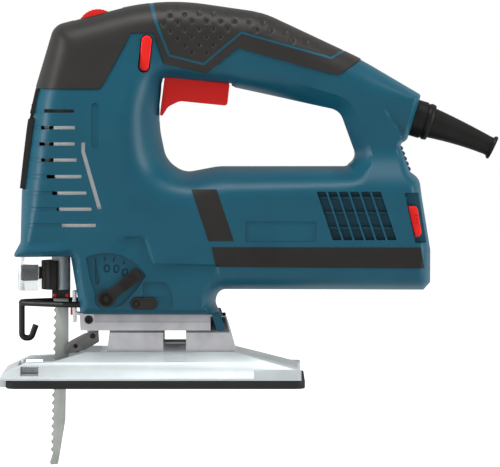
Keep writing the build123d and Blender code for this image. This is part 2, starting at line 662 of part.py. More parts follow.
def gear_train():
    """Cast gear housing with its bushes, the drive gear, its crank pin and its balance weight."""
    back = WALL_X + WALL_T
    cast = block(WALL_X, back, -CAST_HALF, CAST_HALF, LOWER_ARM_Z - 4, UPPER_ARM_Z + ARM_T)
    cast += block(WALL_X, back, -14, 14, HEAD_BOTTOM + WALL + 0.3, LOWER_ARM_Z)
    for z in (LOWER_ARM_Z, UPPER_ARM_Z):
        cast += block(-PLUNGER_R - 3.6, back, -CAST_ARM_HALF, CAST_ARM_HALF, z, z + ARM_T)
        cast -= rod_z(BUSH_R + SNUG / 2, z - 1, z + ARM_T + 1)
    cast -= rod_x(BEARING_R + SNUG / 2, WALL_X - 1, back + 1, 0, MOTOR_Z)
    cast -= rod_x(AXLE_R + SNUG / 2, WALL_X - 1, back + 1, 0, GEAR_Z)
    face = gear_face(GEAR_TEETH, -90) - Circle(AXLE_R + RUN)
    gear = Pos(0, 0, GEAR_Z) * across(face, GEAR_X, GEAR_X + GEAR_WIDTH)
    for hole in range(GEAR_HOLES):
        angle = math.radians(360 / GEAR_HOLES * (hole + 0.5))
        y = GEAR_HOLE_PCR * math.cos(angle)
        z = GEAR_Z + GEAR_HOLE_PCR * math.sin(angle)
        gear -= rod_x(3.2, GEAR_X - 1, GEAR_X + GEAR_WIDTH + 1, y, z)
    pin = rod_x(CRANK_PIN_R, YOKE_X + YOKE_T + 0.6, GEAR_X, 0, GEAR_Z + CRANK_R)
    weight = tube_x(GEAR_HOLE_PCR + 5, AXLE_R + 5, GEAR_X - 4, GEAR_X, 0, GEAR_Z)
    weight &= block(0, 60, -40, 40, 0, GEAR_Z - 2)
    bush = tube_z(BUSH_R, PLUNGER_R + RUN, -1, ARM_T + 1)
    return {
        "gear_housing": cast, "upper_bush": Pos(0, 0, UPPER_ARM_Z) * bush,
        "lower_bush": Pos(0, 0, LOWER_ARM_Z) * bush,
        "gear_axle": rod_x(AXLE_R, GEAR_X - 2, back, 0, GEAR_Z), "drive_gear": gear, "crank_pin": pin,
        "balance_weight": weight,
    }


def blade_face():
    """Side view of the saw blade, with its teeth on the front edge."""
    top = PLUNGER_BOTTOM - 0.2
    count = int((CLAMP_BOTTOM - 2 - BLADE_TIP - 2) / TOOTH_PITCH)
    points = [(BLADE_HALF - 5, BLADE_TIP), (BLADE_HALF - 1, 2 + BLADE_TIP / 2)]
    points += [(BLADE_HALF, CLAMP_BOTTOM - 30), (BLADE_HALF, top), (-BLADE_HALF, top)]
    for tooth in range(count):
        z = CLAMP_BOTTOM - 2 - tooth * TOOTH_PITCH
        points.append((-BLADE_HALF, z))
        points.append((-BLADE_HALF + TOOTH_DEPTH, z - TOOTH_PITCH * 0.45))
    points.append((-BLADE_HALF, BLADE_TIP + 1.5))
    return polygon(points)


def plunger():
    """Reciprocating parts: rod, yoke, blade clamp with its collar, and blade."""
    top = UPPER_ARM_Z + ARM_T + 2 + STROKE
    yoke_z = GEAR_Z + CRANK_R
    reach = CRANK_R + CRANK_PIN_R
    yoke = block(YOKE_X, YOKE_X + YOKE_T, -reach - 5, reach + 5, yoke_z - YOKE_HALF, yoke_z + YOKE_HALF)
    slot = CRANK_PIN_R + GAP
    yoke -= block(YOKE_X - 1, YOKE_X + YOKE_T + 1, -reach - 1, reach + 1, yoke_z - slot, yoke_z + slot)
    for edge in (-YOKE_HALF, slot):
        height = YOKE_HALF - slot
        yoke += block(0, YOKE_X, -4, 4, yoke_z + edge, yoke_z + edge + height)
    yoke -= rod_z(PLUNGER_R, 0, top + 20)
    slot_half = BLADE_T / 2 + SNUG
    clamp = block(-BLADE_HALF - 0.7, BLADE_HALF + 0.8, -4, 4, CLAMP_BOTTOM, PLUNGER_BOTTOM)
    clamp -= block(-20, 20, -slot_half, slot_half, CLAMP_BOTTOM - 1, PLUNGER_BOTTOM + 1)
    ends = block(-20, 20, -slot_half, slot_half, CLAMP_BOTTOM, PLUNGER_BOTTOM)
    ends &= block(-BLADE_HALF - 0.7, -BLADE_HALF - 0.3, -4, 4, 0, 99)
    clamp += ends
    collar = tube_z(COLLAR_R, PLUNGER_R + RUN, COLLAR_BOTTOM, COLLAR_BOTTOM + COLLAR_HEIGHT)
    collar &= block(-40, -1.2, -40, 40, 0, 200)
    for rib in range(COLLAR_RIBS):
        angle = math.radians(100 + 160 / (COLLAR_RIBS - 1) * rib)
        x = COLLAR_R * math.cos(angle)
        collar -= rod_z(0.5, 0, 200, x, COLLAR_R * math.sin(angle))
    blade = through(blade_face(), BLADE_T / 2)
    return {
        "plunger_rod": rod_z(PLUNGER_R, PLUNGER_BOTTOM, top), "yoke": yoke, "blade_clamp": clamp,
        "clamp_collar": collar, "blade": blade,
    }


def front_guards():
    """Clear shield, wire guard and the slide that works the blade clamp."""
    shield = block(SHIELD_X, SHIELD_X + 11, -14.5, 14.5, COLLAR_BOTTOM, LIP_Z)
    shield -= block(SHIELD_X + 1.5, SHIELD_X + 20, -13, 13, 0, LIP_Z + 1)
    release = block(SHIELD_X + 2.6, -COLLAR_R - 0.5, -3.5, 3.5, 55.5, 63)
    release += block(SHIELD_X + 2.6, SHIELD_X + 6, -3.5, 3.5, 60, LIP_Z)
    front = -21.0
    arms = [(15, -WIRE_HALF), (3, -WIRE_HALF), (front, -4), (front, 4), (3, WIRE_HALF), (15, WIRE_HALF)]
    bail_path = Pos(0, 0, WIRE_Z) * FilletPolyline(*arms, radius=3)
    bail = sweep(Plane(bail_path @ 0, z_dir=bail_path % 0) * Circle(WIRE_R), path=bail_path)
    hook = [(front, 0, WIRE_Z), (front, 0, 24.5), (front + 5, 0, 24.5), (front + 7.5, 0, 31.5)]
    hook_path = FilletPolyline(*hook, radius=2.4)
    bail += sweep(Plane(hook_path @ 0, z_dir=hook_path % 0) * Circle(WIRE_R), path=hook_path)
    return {"clear_guard": shield, "release_slide": release, "wire_guard": bail}


def base():
    """Rail under the head, with the roller arm that backs the blade."""
    arch = rail_arch(SADDLE_R + BEVEL_GAP)
    rail = block(RAIL_FRONT, RAIL_REAR, -RAIL_HALF, RAIL_HALF, 20, HEAD_BOTTOM) - arch
    rail += block(ARM_PIN_X - 3, ARM_PIN_X + 3, -1.5, 1.5, ARM_PIN_Z - 2.5, HEAD_BOTTOM - 1)
    rail -= rod_y(ARM_PIN_R, -10, 10, ARM_PIN_X, ARM_PIN_Z)
    rail -= rod_z(CLAMP_SCREW_R + SNUG, 20, HEAD_BOTTOM + 1, CLAMP_X)
    screws = []
    for side in (-1, 1):
        seat = side * (RAIL_HALF - 1)
        rail -= rod_y(RAIL_SCREW_R + SNUG, seat - 1.4, seat + 1.4, RAIL_FRONT + 5, HEAD_BOTTOM - 3.4)
        screw = rod_y(RAIL_SCREW_R, seat - 1.3, seat + 1.3, RAIL_FRONT + 5, HEAD_BOTTOM - 3.4)
        slot_y = side * (RAIL_HALF + 0.4)
        screws.append(screw - block(0, 40, slot_y - 0.5, slot_y + 0.5, HEAD_BOTTOM - 3.8, HEAD_BOTTOM - 3))
    bracket = block(6.2, 8.2, -3.5, 3.5, 33, 50)
    bracket += block(8.2, RAIL_FRONT, -3.5, 3.5, 36.8, HEAD_BOTTOM - 0.5)
    arm_side = [(12.1, 26.6), (19.8, 28.6), (20.2, 22.5), (13, 18.4), (2.4, 15.8), (2.1, 19.7), (4.5, 22.6)]
    arm = through(polygon(arm_side), 4) - block(-5, 40, -1.9, 1.9, 0, 60)
    arm += block(ARM_PIN_X - 5.3, ARM_PIN_X - 3.4, -3, 3, 20.5, 26)
    arm -= rod_y(ARM_PIN_R + RUN, -5, 5, ARM_PIN_X, ARM_PIN_Z)
    arm -= rod_y(ROLLER_PIN_R, -5, 5, ROLLER_X, ROLLER_Z)
    roller = rod_y(ROLLER_R, -1.5, 1.5, ROLLER_X, ROLLER_Z)
    roller -= rod_y(ROLLER_PIN_R + RUN, -5, 5, ROLLER_X, ROLLER_Z)
    return {
        "base_rail": rail, "rail_screws": Compound(children=screws), "guide_bracket": bracket,
        "roller_arm": arm,
        "roller_arm_pin": rod_y(ARM_PIN_R, -4.2, 4.2, ARM_PIN_X, ARM_PIN_Z),
        "guide_roller": roller, "roller_pin": rod_y(ROLLER_PIN_R, -4, 4, ROLLER_X, ROLLER_Z),
    }


def foot():
    """Tilting foot: casting, curved saddle, sole plate and the clamp screw from the rail."""
    side = [
        (FOOT_X, SOLE_T), (FOOT_X + 1.3, SOLE_T + 2.5), (-18, 13), (-3, 13.6), (13.7, RIDGE_Z),
        (SADDLE_REAR, RIDGE_Z), (FOOT_REAR - 1.5, 9.5), (FOOT_REAR, 7.5), (FOOT_REAR, SOLE_T),
    ]
    ridge = SADDLE_HALF + 2.5
    rim = SOLE_T + FOOT_RIM
    half = [(0, SOLE_T), (FOOT_HALF, SOLE_T), (FOOT_HALF, rim), (SADDLE_R - 0.6, rim)]
    half += [(31, 13.5), (ridge, RIDGE_Z), (0, RIDGE_Z)]
    section = polygon(half)
    section += mirror(section, about=Plane.YZ)
    casting = across(section, FOOT_X, FOOT_REAR) & through(polygon(side), FOOT_HALF)
    casting += both_sides(block(103, FOOT_REAR, -FOOT_HALF, -FOOT_HALF + 5, SOLE_T, 10))
    casting += block(FOOT_X, SOLE_X, -FOOT_HALF + 6, FOOT_HALF - 6, 0.6, SOLE_T)
    slot = [(SLOT_HALF, 0), (SLOT_HALF, SOLE_T - 0.5), (ridge, RIDGE_Z + 0.5), (-ridge, RIDGE_Z + 0.5)]
    slot += [(-SLOT_HALF, SOLE_T - 0.5), (-SLOT_HALF, 0)]
    casting -= across(polygon(slot), FOOT_X + 9, SLOT_REAR)
    fence = FENCE_WIDTH / 2
    casting -= block(FENCE_X - fence, FENCE_X + fence, -50, 50, FENCE_Z, FENCE_Z + FENCE_HEIGHT)
    casting -= block(SADDLE_FRONT + 5, SADDLE_REAR - 5, -17, 17, 0, RIDGE_Z - 3.5)
    lean = (SADDLE_R - RIDGE_Z) / 3
    saddle_side = [(SADDLE_FRONT, RIDGE_Z), (SADDLE_REAR, RIDGE_Z)]
    saddle_side += [(SADDLE_REAR - lean, 40), (SADDLE_FRONT + 3, 40)]
    saddle = through(polygon(saddle_side), SADDLE_HALF) & rail_arch(SADDLE_R)
    hollow = rail_arch(SADDLE_R - SADDLE_WALL) & block(
        SADDLE_FRONT + 5, SADDLE_REAR - 9, -SADDLE_HALF + 4, SADDLE_HALF - 4, RIDGE_Z + 2.5, 40)
    saddle -= hollow
    window = block(CLAMP_X - WINDOW_HALF, CLAMP_X + WINDOW_HALF, -60, 60, 14, 60) - rail_arch(CLAMP_SWEEP_R)
    plate = block(SOLE_X, FOOT_REAR + 2, -FOOT_HALF, FOOT_HALF, 0, SOLE_T)
    plate = fillet(plate.edges().filter_by(Axis.Z), SOLE_CORNER)
    plate -= block(FOOT_X, SLOT_REAR, -9, 9, -1, SOLE_T + 1)
    block_top = math.sqrt((SADDLE_R + BEVEL_GAP) ** 2 - CLAMP_BLOCK_HALF ** 2) - 0.2
    low = CLAMP_SWEEP_R + GAP
    wide = CLAMP_BLOCK_HALF
    clamp = block(CLAMP_X - CLAMP_HALF, CLAMP_X + CLAMP_HALF, -wide, wide, low, block_top)
    clamp += rod_z(CLAMP_SCREW_R, low, CLAMP_SCREW_TOP, CLAMP_X)
    return {
        "foot_casting": casting - window, "foot_saddle": saddle - window, "sole_plate": plate,
        "foot_clamp": clamp,
    }


def main():
    os.makedirs("parts", exist_ok=True)
    nodes = housing()
    nodes["housing_screws"] = housing_screws()
    for group in (controls(), cord_entry(), motor(), gear_train(), plunger(), front_guards(), base(), foot()):
        nodes.update(group)
    for name, shape in nodes.items():
        export_step(shape, f"parts/{name}.step")


main()
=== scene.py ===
import math

import bmesh
import bpy
import numpy as np
from mathutils import Matrix, Vector
from mathutils.geometry import delaunay_2d_cdt


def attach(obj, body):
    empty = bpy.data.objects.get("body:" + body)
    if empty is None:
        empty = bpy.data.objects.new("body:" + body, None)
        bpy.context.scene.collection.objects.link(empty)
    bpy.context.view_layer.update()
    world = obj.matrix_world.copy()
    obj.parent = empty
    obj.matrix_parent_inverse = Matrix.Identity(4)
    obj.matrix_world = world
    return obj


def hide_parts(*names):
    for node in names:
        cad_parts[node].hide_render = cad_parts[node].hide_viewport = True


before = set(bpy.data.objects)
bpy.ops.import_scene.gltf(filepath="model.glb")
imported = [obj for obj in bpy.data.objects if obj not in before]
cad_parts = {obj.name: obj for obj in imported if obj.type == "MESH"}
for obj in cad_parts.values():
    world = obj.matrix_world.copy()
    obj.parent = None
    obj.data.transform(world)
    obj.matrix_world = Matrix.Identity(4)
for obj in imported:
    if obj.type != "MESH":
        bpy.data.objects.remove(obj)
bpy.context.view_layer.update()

# Corded top-handle jigsaw. Shapes are worked out in millimetres and stored in metres.
# X points to the rear, Y to the far side, Z up; the sole lies on Z = 0 and the blade at X = 0.
MM = 0.001

# Photograph's frame and the scale read from it
PHOTO_WIDTH = 500
PHOTO_HEIGHT = 467
MM_PER_PIXEL = 0.534
BLADE_PIXEL_X = 61.0
SOLE_PIXEL_Y = 383.9
CAMERA_ELEVATION = 2.8
CAMERA_DISTANCE = 2500.0

SIDES = ((-1, "left"), (1, "right"))
OUTSIDE = 45.0  # clear of the body, where cutters end
CHUNK = 4000  # points measured at a time

# Housing: half widths, where they blend over, half the seam, and how the rubber lies on the shell
BODY_HALF = 31.6
GRIP_HALF = 20.2
MOTOR_TOP, MOTOR_BLEND = 127, 24
HEAD_REAR, HEAD_BLEND = 64, 28
CROWN_FOOT, CROWN_BLEND, CROWN_SHARE = 138, 52, 0.8
BASE_TOP, BASE_BLEND, BASE_SHARE = 62, 22, 0.05
SEAM = 0.12
SHELL = 2.6
RUBBER_PROUD = 0.55
RUBBER_DEPTH = 1.1
RUBBER_SEAT = 0.7

# Steps of the side mesh, and how far its rings lie in from the edge as shares of the edge's roll
SURFACE_STEP = 1.7
EDGE_STEP = 1.2
CAVITY_STEP = 3.2
RING_SHARES = (0.006, 0.025, 0.06, 0.115, 0.19, 0.29, 0.42, 0.58, 0.78, 1.0)

# Side outline of the body: X, Z, corner radius, how wide the edge there rolls over, and how round
CHAMFERED = 1.2
CHAMFER_SHARE = 0.42
BODY_OUTLINE = [
    (-25.6, 68.3, 1.6, 3), (-21.4, 76.0, 4, 7), (-20.7, 103, 30, 14), (-13.7, 155, 60, 15),
    (-3.0, 190.9, 8, 16), (53.1, 205.6, 120, 19), (107.7, 197.7, 50, 18), (160, 173.2, 150, 15),
    (192.0, 154.4, 1.5, 4), (184.7, 130.6, 4, 3.5), (181, 128.0, 1.5, 4), (186.1, 113.6, 1, 5),
    (191.2, 109.7, 7, 7), (192.5, 100, 30, 6.5), (197.1, 72, 10, 6.5), (197.1, 54.8, 1.5, 8),
    (193.4, 50.5, 1.5, 10), (84.5, 50.8, 5, 12), (82.2, 44, 6, 12), (85.4, 37.2, 1, 5),
    (10.6, 37.2, 2.5, 6), (5.4, 68.3, 0.5, 7),
]
HAND_OPENING = [
    (53.9, 162.7, 2.5, 14), (52.5, 138, 50, 22), (56.3, 119.6, 14, 22), (66, 112.9, 11, 20),
    (84, 116.3, 30, 18), (152, 116.3, 4, 13), (158.2, 120, 6, 8.5, CHAMFERED),
    (148.7, 146.2, 9, 8, CHAMFERED), (93.2, 158.2, 2.5, 12), (90.6, 159.5, 1.5, 12),
]

# Zones of the near side, as X, Z outlines
GRIP_ZONE = [
    (-40, 158), (21.4, 158), (24.2, 161.6), (38, 187.4), (50, 187.4), (55.6, 171.2), (78, 166.2), (94.5, 179.6),
    (138, 167.4), (147.4, 165), (160.5, 173.6), (166, 230), (-40, 230),
]
ACCENT_LINE = [(48.1, 212), (48.1, 204.2), (51.3, 192.6), (58.2, 175.6), (76.4, 171), (96.4, 187.6),
               (138.3, 175.6), (143.7, 174), (151.7, 178.2), (156, 184)]
ACCENT_HALF = np.array((1.2, 1.2, 0.9, 0.65, 0.6, 0.6, 0.6, 0.6, 0.6, 0.6))
BAND_ZONE = [(80.6, 74.6), (190.8, 74.4), (192.8, 63.4), (83, 64.2)]
SIDE_STRIP = [(70, 105), (83.3, 105), (92.4, 77.8), (79, 77.8)]

# Zones behind the near side's controls, where the shell is thicker: outline and depth of the hollow
PADS = (
    ([(6, 36), (64, 36), (64, 75), (6, 75)], 22.0),
    ([(178, 70), (200, 70), (200, 108), (178, 108)], 20.5),
    ([(36, 160), (54, 160), (54, 190), (36, 190)], 6.0),
)

# Staggered dimples of the grip
DIMPLE_ROWS = 8
DIMPLE_COLUMNS = 13
DIMPLE_PITCH = 7.6
DIMPLE_DROP = 4.1
DIMPLE_X = 55.0
DIMPLE_Z = 201.4
DIMPLE_R = 1.2
DIMPLE_DEPTH = 1.0

# Front vents (first and last X and the height of each), their grooves to the nose, and the pill beside them
VENT_ROWS = [(-7.6, 8.2, 146.4), (-9.3, 8.8, 137.6), (-10.2, 8.6, 129.0), (-9.2, 9.6, 120.5),
             (-6.2, 12.2, 111.8), (-3.4, 14.8, 103.1), (-1.0, 17.4, 94.6), (1.6, 19.7, 86.0)]
VENT_HALF = 0.92
GROOVE_EDGE = 0.25
GROOVE_DEPTH = 0.4
PILL = np.array([(19.3, 128.8), (19.3, 148.4)])
PILL_HALF = 2.25
PILL_WALL = 0.35
PILL_DEPTH = 0.6
NOSE_LINE = -18.6
NOSE_SLOPE = 0.125
NOSE_BEND = 103

# Crease of the lower head, swelling of the lip under the nose, and scoop behind the strut's fin
CREASE = [(28, 79.6), (45.6, 80.0), (50.4, 65.4), (84, 65.0)]
CREASE_DEPTH = 1.5
CREASE_HALF = np.array((0.5, 0.9, 0.9, 0.5))
CREASE_FADE = 16.0
RIM_LINE = np.array([(-24.0, 69.0), (0.0, 69.0)])
RIM_HEIGHT = 3.2
RIM_WIDTH = 8.5
FIN = [(170.3, 150.0), (183.2, 126.6)]
FIN_DEPTH = 3.0
FIN_EDGE = 0.6
FIN_FADE = 9.0

# Louvres, slots, screws and controls
LOUVRE_COUNT = 6
LOUVRE_X = 136.1
LOUVRE_TOP = 103.9
LOUVRE_FOOT = 78.3
LOUVRE_PITCH = 5.8
LOUVRE_WIDTH = 4.7
LOUVRE_LEAN = 8.5
SLANT_SLOT = [(13.0, 129.9), (13.0, 124.9), (21.7, 94.6)]
SCREW_PLACES = [(-15, 90), (30, 157), (118, 174), (177, 112), (188, 58), (69, 57.5)]
SCREW_SEAT = 10.0
SCREW_HOLE_R = 3.1
ORBIT_X, ORBIT_Z = 25.1, 47.4
ORBIT_ANGLE = 38.0
ORBIT_SWEEP = 24.2
ORBIT_HUB = 6.2
POCKET_FLOOR = 29.5
MARK_DEPTH = 1.0
BUTTON_LINE = (44.9, 169.7, 46.4, 183.4)
BUTTON_R = 2.75
DIAL_X, DIAL_Z = 20.0, 189.2
LEVER_X, LEVER_Z = -12, 148.5


def rounded(rows, step, column=3, usual=0.0):
    """Closed outline through X, Z, radius rows, with round corners, and the value of a column along it."""
    points = []
    values = []
    for i, corner in enumerate(rows):
        here = np.array(corner[:2], float)
        before = np.array(rows[i - 1][:2], float)
        after = np.array(rows[(i + 1) % len(rows)][:2], float)
        radius = corner[2]
        u = (before - here) / np.linalg.norm(before - here)
        v = (after - here) / np.linalg.norm(after - here)
        half = math.acos(np.clip(u @ v, -1, 1)) / 2
        start = here + u * radius / math.tan(half)
        end = here + v * radius / math.tan(half)
        centre = here + (u + v) / np.linalg.norm(u + v) * radius / math.sin(half)
        first = math.atan2(*(start - centre)[::-1])
        turn = math.atan2(*(end - centre)[::-1]) - first
        turn = (turn + math.pi) % (2 * math.pi) - math.pi
        parts = max(3, int(abs(turn) * radius / step) + 1)
        for k in range(parts + 1):
            angle = first + turn * k / parts
            points.append(centre + radius * np.array((math.cos(angle), math.sin(angle))))
            values.append(corner[column] if len(corner) > column else usual)
    return refine(np.array(points), np.array(values, float), step)


def refine(points, values, step):
    """Adds points along the runs of a closed line so that none is longer than step."""
    out = []
    extra = []
    total = len(points)
    for i in range(total):
        a, b = points[i], points[(i + 1) % total]
        parts = max(1, int(math.ceil(np.linalg.norm(b - a) / step)))
        for k in range(parts):
            out.append(a + (b - a) * k / parts)
            extra.append(values[i] + (values[(i + 1) % total] - values[i]) * k / parts)
    return np.array(out), np.array(extra)


def smooth(t):
    t = np.clip(t, 0, 1)
    return t * t * (3 - 2 * t)


def segment_distance(points, line, closed=True):
    """Distance from each point to a run of segments."""
    a = line if closed else line[:-1]
    b = np.roll(line, -1, axis=0) if closed else line[1:]
    run = b - a
    length2 = np.maximum((run ** 2).sum(1), 1e-12)
    best = np.full(len(points), 1e9)
    for start in range(0, len(points), CHUNK):
        chunk = points[start:start + CHUNK]
        rel = chunk[:, None, :] - a[None]
        t = np.clip((rel * run[None]).sum(2) / length2[None], 0, 1)
        gap = rel - t[..., None] * run[None]
        best[start:start + CHUNK] = np.sqrt((gap ** 2).sum(2).min(1))
    return best


def within(points, starts, ends):
    """True for each point inside the area that directed edges bound."""
    x, z = points[:, 0], points[:, 1]
    result = np.zeros(len(points), bool)
    for a, b in zip(starts, ends):
        crosses = (a[1] > z) != (b[1] > z)
        if crosses.any():
            at = a[0] + (z - a[1]) * (b[0] - a[0]) / (b[1] - a[1] + 1e-12)
            result ^= crosses & (x < at)
    return result


def inside(points, loop):
    """True for each point inside a closed loop."""
    return within(points, loop, np.roll(loop, -1, axis=0))


def signed_distance(points, loop):
    """Distance to a closed loop, positive inside."""
    away = segment_distance(points, loop)
    return np.where(inside(points, loop), away, -away)


# Smooth side form of the body
OUTER_LINE, OUTER_ROLL = rounded(BODY_OUTLINE, EDGE_STEP)
HOLE_LINE, HOLE_ROLL = rounded(HAND_OPENING, EDGE_STEP)
ROUNDNESS = 2.3
EDGE_ROUND = [rounded(line, EDGE_STEP, 4, ROUNDNESS)[1] for line in (BODY_OUTLINE, HAND_OPENING)]
EDGE_ROUND = np.concatenate(EDGE_ROUND)
EDGE_POWER = 6
EDGE_SHARE = math.sqrt(math.pi) * math.gamma((EDGE_POWER - 1) / 2) / math.gamma(EDGE_POWER / 2)


def half_width(points):
    """Half width of the body before its edges roll over: wide at head and motor, slim at the grip."""
    x, z = points[:, 0], points[:, 1]
    motor = smooth((MOTOR_TOP - z) / MOTOR_BLEND)
    head = smooth((HEAD_REAR - x) / HEAD_BLEND) * (1 - CROWN_SHARE * smooth((z - CROWN_FOOT) / CROWN_BLEND))
    wide = 1 - (1 - motor) * (1 - head)
    low = 1 - BASE_SHARE * smooth((BASE_TOP - z) / BASE_BLEND)
    return (GRIP_HALF + (BODY_HALF - GRIP_HALF) * wide) * low


def edge_gap(points):
    """Distance to the nearest edge of the body."""
    return np.minimum(segment_distance(points, OUTER_LINE), segment_distance(points, HOLE_LINE))


def edge_distance(points):
    """Smoothed distance to the outline, the nearest edge's roll-over width, plain distance and roundness."""
    line = np.vstack((OUTER_LINE, HOLE_LINE))
    roll = np.concatenate((OUTER_ROLL, HOLE_ROLL))
    spans = [np.linalg.norm(np.roll(part, -1, axis=0) - part, axis=1) for part in (OUTER_LINE, HOLE_LINE)]
    span = np.concatenate(spans)
    near = edge_gap(points)
    soft, width, curve = np.zeros((3, len(points)))
    for start in range(0, len(points), CHUNK):
        part = slice(start, start + CHUNK)
        gap2 = ((points[part][:, None, :] - line[None]) ** 2).sum(2) + 0.05
        weight = span[None] / gap2 ** (EDGE_POWER / 2)
        total = weight.sum(1)
        soft[part] = (total / EDGE_SHARE) ** (-1 / (EDGE_POWER - 1))
        width[part] = (weight * roll[None]).sum(1) / total
        curve[part] = (weight * EDGE_ROUND[None]).sum(1) / total
    share = smooth((near - 1.5) / 3)
    return near * (1 - share) + soft * share, width, near, curve


def crease_drop(points):
    """Depth of the step that divides the motor side from the lower head."""
    line = np.array(CREASE, float)
    away = segment_distance(points, line, closed=False)
    under = np.vstack((line, [(84, 20), (28, 20)]))
    half = np.interp(points[:, 1], (line[2, 1], line[2, 1] + 2, line[1, 1] - 2, line[1, 1]), CREASE_HALF)
    below = np.clip((np.where(inside(points, under), away, -away) + half) / (2 * half), 0, 1)
    fade = 1 - smooth(away / CREASE_FADE)
    return CREASE_DEPTH * below * fade * smooth((points[:, 0] - 28) / 9) * smooth((86 - points[:, 0]) / 4)


def rim_rise(points):
    """Swelling of the side towards the lip under the nose."""
    return RIM_HEIGHT * smooth(1 - segment_distance(points, RIM_LINE, closed=False) / RIM_WIDTH)


def fin_drop(points):
    """Depth of the scoop behind the strut's rear fin, deepest at its lower end."""
    top, foot = np.array(FIN, float)
    run = foot - top
    rel = points - top
    along = np.clip(rel @ run / (run @ run), 0, 1)
    aside = (run[0] * rel[:, 1] - run[1] * rel[:, 0]) / np.linalg.norm(run)
    scoop = FIN_DEPTH * along * np.clip(aside / FIN_EDGE, 0, 1) * (1 - smooth((aside - FIN_EDGE) / FIN_FADE))
    return scoop * smooth((points[:, 1] - foot[1] + 3) / 3)


def groove_drop(points):
    """Depth of the shallow grooves that run from the front vents to the nose."""
    drop = np.zeros(len(points))
    for x0, _, z in VENT_ROWS:
        off = np.abs(points[:, 1] - z)
        drop += np.clip((VENT_HALF + GROOVE_EDGE - off) / GROOVE_EDGE, 0, 1) * (points[:, 0] < x0 + 1)
    return GROOVE_DEPTH * drop


def pill_drop(points):
    """Depth of the bare oval recess beside the front vents."""
    away = segment_distance(points, PILL, closed=False)
    return PILL_DEPTH * np.clip((PILL_HALF - away) / PILL_WALL, 0, 1)


def body_height(points, creased=True):
    """How far the smooth body reaches out from the middle plane at each side-view point."""
    away, width, near, curve = edge_distance(points)
    share = np.clip(away / width, 0, 1)
    bevel = smooth((ROUNDNESS - 0.15 - curve) / (ROUNDNESS - 0.3 - CHAMFERED))
    curve = np.maximum(curve, 1.8)
    rolled = (1 - (1 - share) ** curve) ** (1 / curve)
    profile = rolled * (1 - bevel) + (1 - CHAMFER_SHARE * (1 - share)) * bevel
    height = (half_width(points) + rim_rise(points)) * profile
    if creased:
        height = height - crease_drop(points) * smooth((share - 0.2) / 0.5) - pill_drop(points)
        height = height - fin_drop(points) * smooth(share / 0.6)
        height = height - groove_drop(points) * smooth((share - 0.12) / 0.1)
    return np.where(near < 1e-3, SEAM, np.maximum(height, SEAM)), near


def in_body(points):
    return inside(points, OUTER_LINE) & ~inside(points, HOLE_LINE)


def inward(line):
    """Unit normals of a closed line of the body, pointing into it."""
    along = np.roll(line, -1, axis=0) - np.roll(line, 1, axis=0)
    along /= np.linalg.norm(along, axis=1)[:, None]
    normal = np.stack((-along[:, 1], along[:, 0]), axis=1)
    return -normal if in_body(line + normal * 0.05).mean() < 0.5 else normal


def inward_rings():
    """Rows of points that follow the outline inwards, close together where the edge rolls over."""
    rows = []
    for line, roll in ((OUTER_LINE, OUTER_ROLL), (HOLE_LINE, HOLE_ROLL)):
        normal = inward(line)
        for share in RING_SHARES:
            rows.append((line + normal * (roll * share)[:, None], roll * share))
    points = np.vstack([row for row, depth in rows])
    depth = np.concatenate([depth for row, depth in rows])
    return points[(edge_gap(points) > depth * 0.93) & in_body(points)]


def surface_grid(step):
    """Staggered points over the whole body."""
    low, high = OUTER_LINE.min(0), OUTER_LINE.max(0)
    rise = step * math.sqrt(3) / 2
    rows = np.arange(low[1], high[1], rise)
    points = []
    for i, z in enumerate(rows):
        xs = np.arange(low[0] + (i % 2) * step / 2, high[0], step)
        points.append(np.stack((xs, np.full(len(xs), z)), axis=1))
    points = np.vstack(points)
    points = points[in_body(points)]
    away, width = edge_distance(points)[:2]
    return points[away > width * 1.06]


def ribbon(line, half):
    """Closed outline of a line drawn with a width."""
    line = np.array(line, float)
    runs = [run / np.linalg.norm(run) for run in np.diff(line, axis=0)]
    along = np.gradient(line, axis=0)
    along[1:-1] = [before + after for before, after in zip(runs, runs[1:])]
    along /= np.linalg.norm(along, axis=1)[:, None]
    stretch = np.ones(len(line))
    stretch[1:-1] = [1 / max(0.5, abs(after @ way)) for after, way in zip(runs[1:], along[1:-1])]
    reach = np.stack((-along[:, 1], along[:, 0]), axis=1) * (half * stretch)[:, None]
    return np.vstack((line + reach, (line - reach)[::-1]))


def dimple_places():
    """Staggered centres of the grip's dimples, inside the accent line and clear of the top edge."""
    field = np.vstack((np.array(ACCENT_LINE), [(156, 230), (48, 230)]))
    places = []
    for row in range(DIMPLE_ROWS):
        for column in range(DIMPLE_COLUMNS):
            x = DIMPLE_X + (column + 0.5 * (row % 2)) * DIMPLE_PITCH
            z = DIMPLE_Z - row * DIMPLE_DROP - 0.0042 * max(0, x - 88) ** 1.75 - 0.1 * max(0, 70 - x)
            places.append((x, z))
    places = np.array(places)
    keep = signed_distance(places, field) > 2.6
    keep &= in_body(places) & (segment_distance(places, OUTER_LINE) > 1.2)
    return places[keep]


def ring_edges(loops):
    """Vertex pairs that close each loop, where the loops' points follow one another."""
    edges = []
    base = 0
    for loop in loops:
        edges += [(base + i, base + (i + 1) % len(loop)) for i in range(len(loop))]
        base += len(loop)
    return edges


def triangulated(points, edges, gap):
    """Triangles between points that keep the edges: their points, corners and the points' sources."""
    out = delaunay_2d_cdt([Vector(p) for p in points], edges, [], 0, gap)
    return np.array([tuple(v) for v in out[0]]), np.array(out[2]), out[3]


def double_areas(flat, faces):
    a, b, c = (flat[faces[:, k]] for k in range(3))
    return (b[:, 0] - a[:, 0]) * (c[:, 1] - a[:, 1]) - (b[:, 1] - a[:, 1]) * (c[:, 0] - a[:, 0])


def groove_loop(x, z, half):
    """Outline of the groove from a front vent to the nose."""
    nose = NOSE_LINE + NOSE_SLOPE * max(0, z - NOSE_BEND)
    return np.array([(nose, z - half), (x + 1, z - half), (x + 1, z + half), (nose, z + half)])


